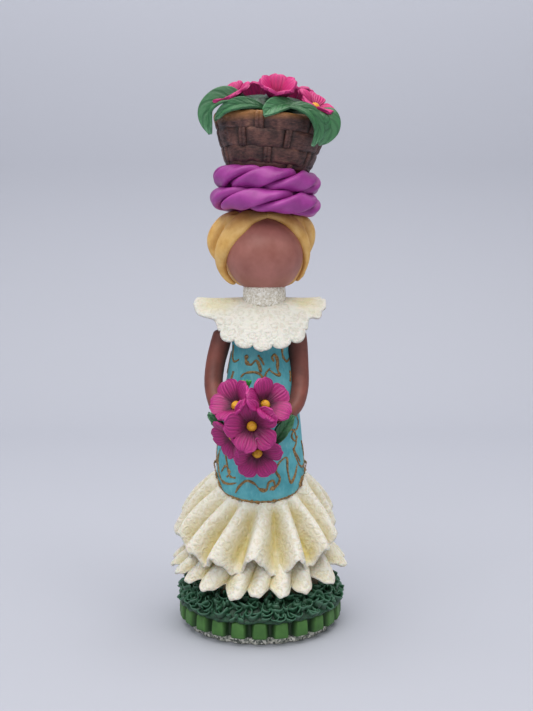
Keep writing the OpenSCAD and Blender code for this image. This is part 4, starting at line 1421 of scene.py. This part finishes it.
def rope_rings():
    low, high = ROPE_R + 0.05, 3 * ROPE_R + 0.1
    rope_strand("lower_rope_a", LOWER_RING_R, low, 3, 55, 1)
    rope_strand("lower_rope_b", LOWER_RING_R, low, 3, 235, 2)
    rope_strand("upper_rope_a", UPPER_RING_R, high, 3.5, 114, 3)
    rope_strand("upper_rope_b", UPPER_RING_R, high, 3.5, 294, 4)


# ---------------------------------------------------------------- basket


# Rows of the weave: lowest and highest edge, how proud they stand, angles of the stakes from the front
WOVEN = [
    (0.1, 1.5, 0.35, (-70, 31, 130, 232)),
    (1.3, 6.2, 0.75, (-66, -2, 58, 112, 164, 218)),
    (5.9, 11.6, 0.9, (-32, 20, 76, 128, 176, 226, 280)),
    (11.2, 16.2, 0.8, (-78, -12, 48, 96, 146, 200, 245)),
]


def basket_radius(h):
    return lerp(BASKET_FLOOR_R, BASKET_RIM_R, h / BASKET_H) + 0.06


def basket_panel(start, stop, low, high, proud, seed, columns=24):
    """A length of woven strip bent round the basket, its edges tucked in."""

    def shape(u, v):
        w = lerp(start, stop, (u + 1) / 2)
        edge_wave = 0.6 * wobble((w / 13, seed, 0), 1) + 0.12 * wobble((w / 4, seed, 2), 1)
        h = lerp(low, high, v) + edge_wave * (1 if high < BASKET_H - 1 or v < 0.5 else 0.4)
        y = 2 * v - 1
        swell = (1 - abs(u) ** 14) * (1 - abs(y) ** 7)
        score = -0.14 * math.exp(-(((v - 0.32 - 0.16 * wobble((w / 25, seed, 4), 1)) / 0.035) ** 2))
        r = basket_radius(h) + 0.05 + (proud + 0.2 * wobble((w / 3, h / 1.2, seed), 1) + score) * swell
        return CROWN @ around(r, w, BASKET_LOW + h)

    piece = press_sheet("panel", columns, 12, shape)
    return thicken(piece, 0.5, 1.0)


def woven_wall():
    made = []
    for row, (low, high, proud, bars) in enumerate(WOVEN):
        for k, bar in enumerate(bars):
            after = bars[(k + 1) % len(bars)] + 360 * (k + 1 == len(bars))
            start = FRONT + bar
            half = 2.8 if (k + row) % 2 else 4.0
            made.append(basket_panel(start + half, FRONT + after - half, low, high, proud, row * 20 + k))
            for way in (-1, 1):
                ends = sorted((start + way * 0.15, start + way * half))
                seed = row * 20 + k + 11 + way
                made.append(basket_panel(*ends, low - 0.05, high + 0.05, proud + 0.08, seed, 6))
    piece = gather("woven_strips", made)
    strips = ["basket_strip_1", "basket_strip_2", "basket_strip_3", "basket_strip_4", "basket_stakes"]
    hand_over(piece, BASKET_CLAY, "basket_brown_clay", *strips)
    rim = []
    for k in range(180):
        w = 360 * k / 180
        out = around(1, w)
        at = out * (BASKET_RIM_R - 0.3) + Vector((0, 0, RIM - 0.05 + 0.2 * wobble((w / 14, 0, 3), 1)))
        along = Vector((-out.y, out.x, 0))
        half = 1.3 + 0.15 * wobble((w / 9, 2, 2), 1)
        rim.append([CROWN @ p for p in oval(at, along, out, half, 0.45, 10)])
    band = draw_out("basket_rim", rim, closed=True)
    hand_over(band, RIM_CLAY, "basket_brown_clay")


def basket_bed():
    """The plug of green clay that the stalks stand in."""
    levels = [(-11.6, 11.6), (-0.6, 15.2), (0.6, 15.3), (3.0, 14.4), (5.0, 12.6), (6.5, 9.0), (7.1, 4.0)]
    rings = []
    for z, r in levels:
        dent = 0.4 * (z > 0)

        def radius(w, z=z, r=r, dent=dent):
            return r + dent * wobble((around(r, w).x, 3 * w, z), 2.4)

        rings.append([CROWN @ point for point in level_ring(RIM + z, radius, 90)])
    piece = draw_out("basket_bed", rings)
    hand_over(piece, MOUND_CLAY, "grass_green_clay", "basket_fill")


# ---------------------------------------------------------------- flowers and leaves


PETALS = 5
PETAL_CUP = 0.3
# Half-widths from root to tip: of a petal in millimetres, of a leaf as a part of its widest
PETAL_HALF = [0.8, 1.2, 1.8, 2.4, 2.95, 3.35, 3.4, 2.85, 1.0]
LEAF_HALF = [0.25, 0.5, 0.8, 0.97, 1.0, 0.93, 0.78, 0.52, 0.06]


def petal(length, rise, bend, cup, seed):
    """A petal growing out along +X, rising from the stalk and turning over by bend degrees."""

    def shape(u, v):
        turn = math.radians(bend)
        a0 = math.radians(rise)
        r = length / turn
        a = a0 - turn * v
        x = 0.6 + r * (math.sin(a0) - math.sin(a))
        z = r * (math.cos(a) - math.cos(a0))
        half = curve_through(PETAL_HALF, v) * length / 8.6
        side = u * half
        phase = u * 20 + 0.5 * wobble((v * 4, u * 3, seed), 1)
        ribs = 0.2 * math.cos(phase) * smooth(v * 3) * (1 - abs(u) ** 6)
        ribs *= 1 - 0.6 * smooth(5 * v - 4)
        lift = cup * u * u * half * lerp(1.0, -0.15, smooth(v * 1.3 - 0.3)) + ribs
        lift += 0.3 * wobble((u * 2, v * 2, seed), 1) * v
        lift -= 0.5 * smooth(6 * v - 5) * (1 - u * u)
        return (x + lift * math.sin(a) * 0.6, side, z + lift * math.cos(a))

    return press_sheet("petal", 29, 15, shape)


def facing(place, direction, spin):
    """Matrix that stands a flower on its place, looking along direction."""
    d = Vector(direction).normalized()
    turn = d.to_track_quat("Z", "Y").to_matrix().to_4x4()
    return Matrix.Translation(place) @ turn @ turned("Z", spin)


def flower(name, matrix, length, rise, bend, finish, seed, thickness):
    """Petals set round a stalk, each a little different."""
    chance = random.Random(seed)
    made = []
    for k in range(PETALS):
        long = length * chance.uniform(0.94, 1.05)
        one = petal(long, rise + chance.uniform(-5, 5), bend + chance.uniform(-7, 7), PETAL_CUP, seed + k)
        thicken(one, thickness)
        turn = matrix @ turned("Z", 360 / PETALS * k + chance.uniform(-4, 4))
        turn @= Matrix.Translation((0, 0, 0.16 * (k % 2)))
        made.append(copy_of(one, turn))
        throw_away(one)

    def stalk(t):
        return matrix @ Vector((0, 0, lerp(-3.4, 0.9, t)))

    def thick(t):
        return 1.05 + 0.5 * t

    rings = strand_rings(stalk, matrix.to_3x3() @ Vector((1, 0, 0)), thick, thick, 8, 12, 0.1)
    made.append(draw_out("stalk", rings))
    hand_over(gather(name, made), finish, "flower_magenta_clay", name)


def stamens(name, places):
    """Stippled balls in the throats of the flowers."""
    made = []
    for n, matrix in enumerate(places):
        let_go()
        bpy.ops.mesh.primitive_ico_sphere_add(subdivisions=4, radius=1.55 * MM, location=(0, 0, 0))
        ball = bpy.context.object
        for vert in ball.data.vertices:
            spot = vert.co / MM
            vert.co += vert.co.normalized() * 0.1 * wobble(spot, 0.5, n) * MM
            vert.co.z *= 0.94
        made.append(copy_of(ball, matrix @ Matrix.Translation((0, 0, 1.7))))
        throw_away(ball)
    hand_over(gather(name, made), STAMEN_CLAY, "stamen_yellow_clay", name)


def cluster(name, base, spots, finish, seed, seed_step, thickness):
    """Flowers given by place from the base, way they look, spin, petal length, rise and bend."""
    places = []
    for k, (node, at, look, spin, length, rise, bend) in enumerate(spots):
        matrix = base @ facing(at, look, spin)
        flower(node, matrix, length, rise, bend, finish, seed + seed_step * k, thickness)
        places.append(matrix)
    stamens(name, places)


def leaf(name, place, spine, up, half_width, fold, vein_gap):
    """A leaf along a midrib; up is the way its face looks from root to tip, fold lifts its sides."""
    spots = [Vector(p) for p in spine]
    looks = [Vector(p) for p in up]
    length = sum((spots[k + 1] - spots[k]).length for k in range(len(spots) - 1))

    def shape(u, v):
        at = curve_through(spots, v)
        along = heading(lambda t: curve_through(spots, t), v).normalized()
        look = curve_through(looks, v)
        side = along.cross(look).normalized()
        out = side.cross(along)
        half = half_width * curve_through(LEAF_HALF, v)
        tilt = math.radians(fold)
        rib = -0.32 * math.exp(-((u / 0.09) ** 2))
        run = (v * length - abs(u) * half * 0.9) / vein_gap
        veins = -0.16 * (0.5 + 0.5 * math.cos(math.tau * run)) ** 4 * (1 - abs(u) ** 6) * smooth(abs(u) * 6)
        flutter = 0.35 * wobble((u * 1.5, v * 5, half_width), 1) * abs(u)
        grooves = (rib + veins) * smooth(v * 8) * smooth((1 - v) * 8)
        lift = abs(u) * half * math.sin(tilt) + grooves + flutter
        return place @ (at + side * (u * half * math.cos(tilt)) + out * lift)

    piece = press_sheet(name, 17, 33, shape)
    thicken(piece, 0.8, -1.0)
    hand_over(piece, LEAF_CLAY, "leaf_green_clay", name)


# Blades of the sprig over the bunch, and the axis of the bunch in the hands
BLADES = 9
BUNCH = Vector((-2.6, -18.2, 0))


BASKET_FLOWERS = [
    ("basket_flower_front", (1.0, -9.4, 4.2), (0.05, -0.7, 1), 12, 9.0, 74, 34),
    ("basket_flower_left", (-12.0, -5.6, 3.4), (-0.6, -0.5, 1), 40, 8.0, 54, 40),
    ("basket_flower_right", (12.6, -7.0, 2.6), (0.5, -0.5, 1), 50, 7.4, 56, 44),
    ("basket_flower_back_left", (-5.6, 6.2, 4.8), (-0.25, 0.1, 1), 10, 8.8, 70, 36),
    ("basket_flower_back_right", (6.0, 5.4, 4.8), (0.3, 0.1, 1), 60, 8.8, 66, 36),
]
BOUQUET_FLOWERS = [
    ("bouquet_flower_centre", (0.2, -8.1, 0.8), (0.02, -1, 0.04), 30, 9.5, 50, 38),
    ("bouquet_flower_top_right", (3.4, -5.2, 6.2), (0.5, -0.72, 0.46), 26, 9.2, 56, 36),
    ("bouquet_flower_top_left", (-3.6, -4.4, 5.6), (-0.6, -0.6, 0.55), 56, 9.0, 60, 36),
    ("bouquet_flower_left", (-4.2, -4.2, -2.4), (-0.85, -0.5, -0.4), 26, 8.2, 58, 38),
    ("bouquet_flower_bottom", (1.6, -4.0, -7.6), (0.16, -1, -0.4), 18, 9.0, 54, 38),
]


# Leaves: midrib, way the face looks from root to tip, half-width, lift of the sides, gap of the veins
BASKET_LEAVES = [
    (
        "basket_leaf_1",
        [(-6, -9, 3.0), (-11, -10.6, 4.0), (-16.4, -10.2, 3.4), (-20.0, -9.6, -0.4), (-19.0, -9.6, -7.2)],
        [(-0.2, -0.6, 1), (-0.5, -0.8, 0.6), (-0.7, -0.8, 0.1)],
        4.4, 34, 1.7,
    ),
    (
        "basket_leaf_2",
        [
            (-1.5, -14.6, 1.4), (-6, -16.0, 2.2), (-10.8, -15.6, 1.9), (-14.8, -14.0, 0.2),
            (-17.8, -11.4, -2.8),
        ],
        [(-0.1, -0.6, 1), (-0.4, -0.9, 0.5), (-0.8, -0.8, 0.2)],
        2.3, 26, 1.6,
    ),
    (
        "basket_leaf_3",
        [(8.4, -13.2, 3.6), (5.0, -15.8, 3.4), (1.8, -17.2, 2.4), (-0.8, -18.4, 0.8), (-2.4, -19.0, -1.0)],
        [(0.0, -0.7, 1), (0, -1, 0.6), (0, -1, 0.2)],
        2.9, 20, 1.7,
    ),
    (
        "basket_leaf_4",
        [(3.0, -16.4, 2.4), (8.0, -17.8, 2.6), (12.4, -17.6, 0.6), (15.0, -15.8, -3.6), (13.6, -15.4, -9.0)],
        [(0.1, -0.7, 1), (0.4, -1, 0.5), (0.6, -1, 0.1)],
        2.3, 18, 1.6,
    ),
    (
        "basket_leaf_5",
        [(12.2, -9, 2.6), (15.4, -11.4, 2.6), (18.0, -12.4, 0.6), (18.4, -12.8, -3.0), (15.2, -13.8, -8.0)],
        [(0.3, -0.5, 1), (0.8, -0.8, 0.5), (0.9, -0.9, 0.1)],
        4.3, 12, 1.9,
    ),
    (
        "basket_leaf_6",
        [(11, -1.0, 3.0), (14.2, -1.2, 3.6), (16.8, -1.8, 2.8), (18.4, -2.4, 0.8), (18.9, -2.8, -2.2)],
        [(0.3, -0.1, 1), (0.7, -0.1, 0.6), (1, 0, 0.2)],
        3.4, 20, 1.8,
    ),
    (
        "basket_leaf_7",
        [(6, 11.4, 3.0), (8.4, 15.0, 4.2), (10.4, 18.0, 3.0), (11.4, 19.6, 0.0), (11.6, 19.8, -5.0)],
        [(0, 0.3, 1), (0, 0.8, 0.6), (0, 1, 0.2)],
        4.2, 18, 1.8,
    ),
    (
        "basket_leaf_8",
        [(-7.4, 9.6, 3.0), (-10.2, 13.2, 4.0), (-12.6, 16.4, 3.0), (-13.8, 18.0, 0.0), (-13.8, 18.0, -5.0)],
        [(-0.2, 0.2, 1), (-0.7, 0.7, 0.6), (-0.8, 0.8, 0.2)],
        3.9, 20, 1.8,
    ),
]
BOUQUET_LEAVES = [
    (
        "bouquet_leaf_right",
        [(6.8, -4.4, -5.6), (8.2, -5.2, -3.4), (9.8, -5.6, -0.8), (11.6, -5.2, 1.6), (13.2, -4.6, 3.4)],
        [(0.1, -1, 0), (0.2, -1, 0.1), (0.3, -1, 0.1)],
        2.1, 16, 1.0,
    ),
    (
        "bouquet_leaf_left",
        [(-7.0, -1.4, -1.4), (-9.0, -2.2, -0.2), (-10.8, -2.6, 0.9), (-12.4, -2.4, 2.2), (-13.6, -2.0, 3.4)],
        [(-0.1, -1, 0.3), (-0.2, -1, 0.3), (-0.3, -1, 0.3)],
        1.3, 16, 1.4,
    ),
]


def basket_flowers():
    base = CROWN @ Matrix.Translation((0, 0, RIM))
    cluster("basket_stamens", base, BASKET_FLOWERS, BRIGHT_PETAL_CLAY, 20, 7, 1.0)
    for name, *shape in BASKET_LEAVES:
        leaf(name, base, *shape)


def bouquet():
    centre = (corners("bouquet_core")[0] + corners("bouquet_core")[1]) / 2
    middle = Vector((BUNCH.x, BUNCH.y, centre.z - 0.3))
    base = Matrix.Translation(middle)
    cluster("bouquet_stamens", base, BOUQUET_FLOWERS, PETAL_CLAY, 60, 5, 0.9)
    for name, *shape in BOUQUET_LEAVES:
        leaf(name, base, *shape)
    made = []
    root = middle + Vector((-1.6, -1.4, 10.6))
    for k in range(BLADES):
        w = math.tau * k / BLADES
        lean = Vector((0.42 * math.cos(w), 0.3 * math.sin(w), 1)).normalized()

        def path(t):
            return root + lean * (4.0 * t) + Vector((0, 0, -0.4 * t * t))

        rings = strand_rings(path, (0, 1, 0), lambda t: 0.6 * (1 - 0.5 * t), lambda t: 0.4, 8, 8, 0.2)
        made.append(draw_out("blade", rings))

    def stem(t):
        return middle + Vector((-1.4 - 0.2 * t, 0.4 - 1.8 * t, lerp(4.6, 11.0, t)))

    made.append(draw_out("stem", strand_rings(stem, (0, 1, 0), lambda t: 0.6, lambda t: 0.6, 8, 8, 0.1)))
    hand_over(gather("bouquet_sprig", made), SPRIG_CLAY, "sprig_green_clay", "bouquet_sprig")


# ---------------------------------------------------------------- what stays as it was cut


def finish_hidden_pieces():
    kept = {
        "armature_rod": STEEL,
        "basket_pin": STEEL,
        "left_shoulder_pin": STEEL,
        "right_shoulder_pin": STEEL,
        "skirt_cone": PAPER_PULP,
        "dress_core": PAPER_PULP,
        "neck_post": ARM_CLAY,
        "basket_wall": RIM_CLAY,
        "bouquet_core": MOUND_CLAY,
    }
    for node, finish in kept.items():
        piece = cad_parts[node]
        piece = piece if isinstance(piece, bpy.types.Object) else bpy.data.objects[node]
        piece.data.materials.clear()
        piece.data.materials.append(finish)


# ---------------------------------------------------------------- stage, light and camera


# Where the sheet starts to curve up behind the doll and the radius of that curve, in metres
SWEEP_BACK, SWEEP_R = 0.36, 0.2


def stage():
    """A pale sheet that lies flat under the doll and curves up behind it."""
    let_go()
    bpy.ops.mesh.primitive_plane_add(size=6, location=(0, 0, 0))
    floor = bpy.context.object
    floor.name = "pale_sweep"
    bpy.ops.object.mode_set(mode="EDIT")
    bpy.ops.mesh.select_mode(type="EDGE")
    bpy.ops.mesh.select_all(action="DESELECT")
    mesh = bmesh.from_edit_mesh(floor.data)
    for vert in mesh.verts:
        if vert.co.y > 0:
            vert.co.y = SWEEP_BACK
    for edge in mesh.edges:
        edge.select = all(vert.co.y > 0 for vert in edge.verts)
    bmesh.update_edit_mesh(floor.data)
    bpy.ops.mesh.spin(steps=24, angle=math.radians(90), center=(0, SWEEP_BACK, SWEEP_R), axis=(-1, 0, 0))
    bpy.ops.mesh.extrude_region_move(TRANSFORM_OT_translate={"value": (0, 0, 2)})
    bpy.ops.mesh.select_all(action="SELECT")
    bpy.ops.mesh.normals_make_consistent(inside=False)
    bpy.ops.object.mode_set(mode="OBJECT")
    bpy.ops.object.shade_smooth()
    finish, tree, shader = new_finish("pale_backdrop_paper")
    give(tree, shader, {"Base Color": colour("b2b5c0"), "Roughness": 0.85})
    floor.data.materials.append(finish)


def soft_light(name, place, aim, size, power, tint):
    data = bpy.data.lights.new(name, "AREA")
    data.shape = "RECTANGLE"
    data.size, data.size_y = size
    data.energy = power
    data.color = colour(tint)[:3]
    lamp = bpy.data.objects.new(name, data)
    bpy.context.scene.collection.objects.link(lamp)
    lamp.location = place
    lamp.rotation_euler = (Vector(aim) - Vector(place)).to_track_quat("-Z", "Y").to_euler()


def light_and_camera():
    world = bpy.data.worlds.new("studio")
    world.use_nodes = True
    sky = world.node_tree.nodes["Background"]
    give(world.node_tree, sky, {"Color": colour("dcdde4"), "Strength": 0.36})
    bpy.context.scene.world = world
    soft_light("overhead", (0.0, -0.14, 0.95), (0, -0.1, 0), (1.1, 0.8), 10.0, "fffdf8")
    soft_light("key", (-0.2, -0.85, 0.72), (0, 0, 0.12), (0.6, 0.4), 2.6, "fffdfa")
    soft_light("left", (-0.65, -0.6, 0.5), (0, 0, 0.1), (0.5, 0.6), 1.0, "ffffff")
    soft_light("right", (0.7, -0.5, 0.4), (0, 0, 0.1), (0.4, 0.6), 0.9, "fffaf2")
    soft_light("wall", (0.0, 0.42, 0.62), (0, 0.56, 0.36), (1.4, 0.1), 1.0, "ffffff")
    eye = bpy.data.cameras.new("camera")
    eye.sensor_width = 36
    eye.lens = 51.95
    eye.clip_start, eye.clip_end = 0.02, 20
    camera = bpy.data.objects.new("camera", eye)
    bpy.context.scene.collection.objects.link(camera)
    camera.location = (2.1 * MM, -336 * MM, 122 * MM)
    camera.rotation_euler = (math.radians(90 - 5.6), 0, 0)
    bpy.context.scene.camera = camera
    bpy.context.scene.view_settings.view_transform = "Standard"


stage()
light_and_camera()
scalloped_foot()
fluted_disc()
grass_mound()
grass_curls()
hem_gathers()
dress()
bronze_threads()
arm(-1, "left_arm", (-10.0, -17.2, 72.4), 15.2)
arm(1, "right_arm", (6.6, -17.6, 71.4), 12.9)
choker()
collar()
head()
wrap_bands()
hood()
rope_rings()
woven_wall()
basket_bed()
basket_flowers()
bouquet()
finish_hidden_pieces()
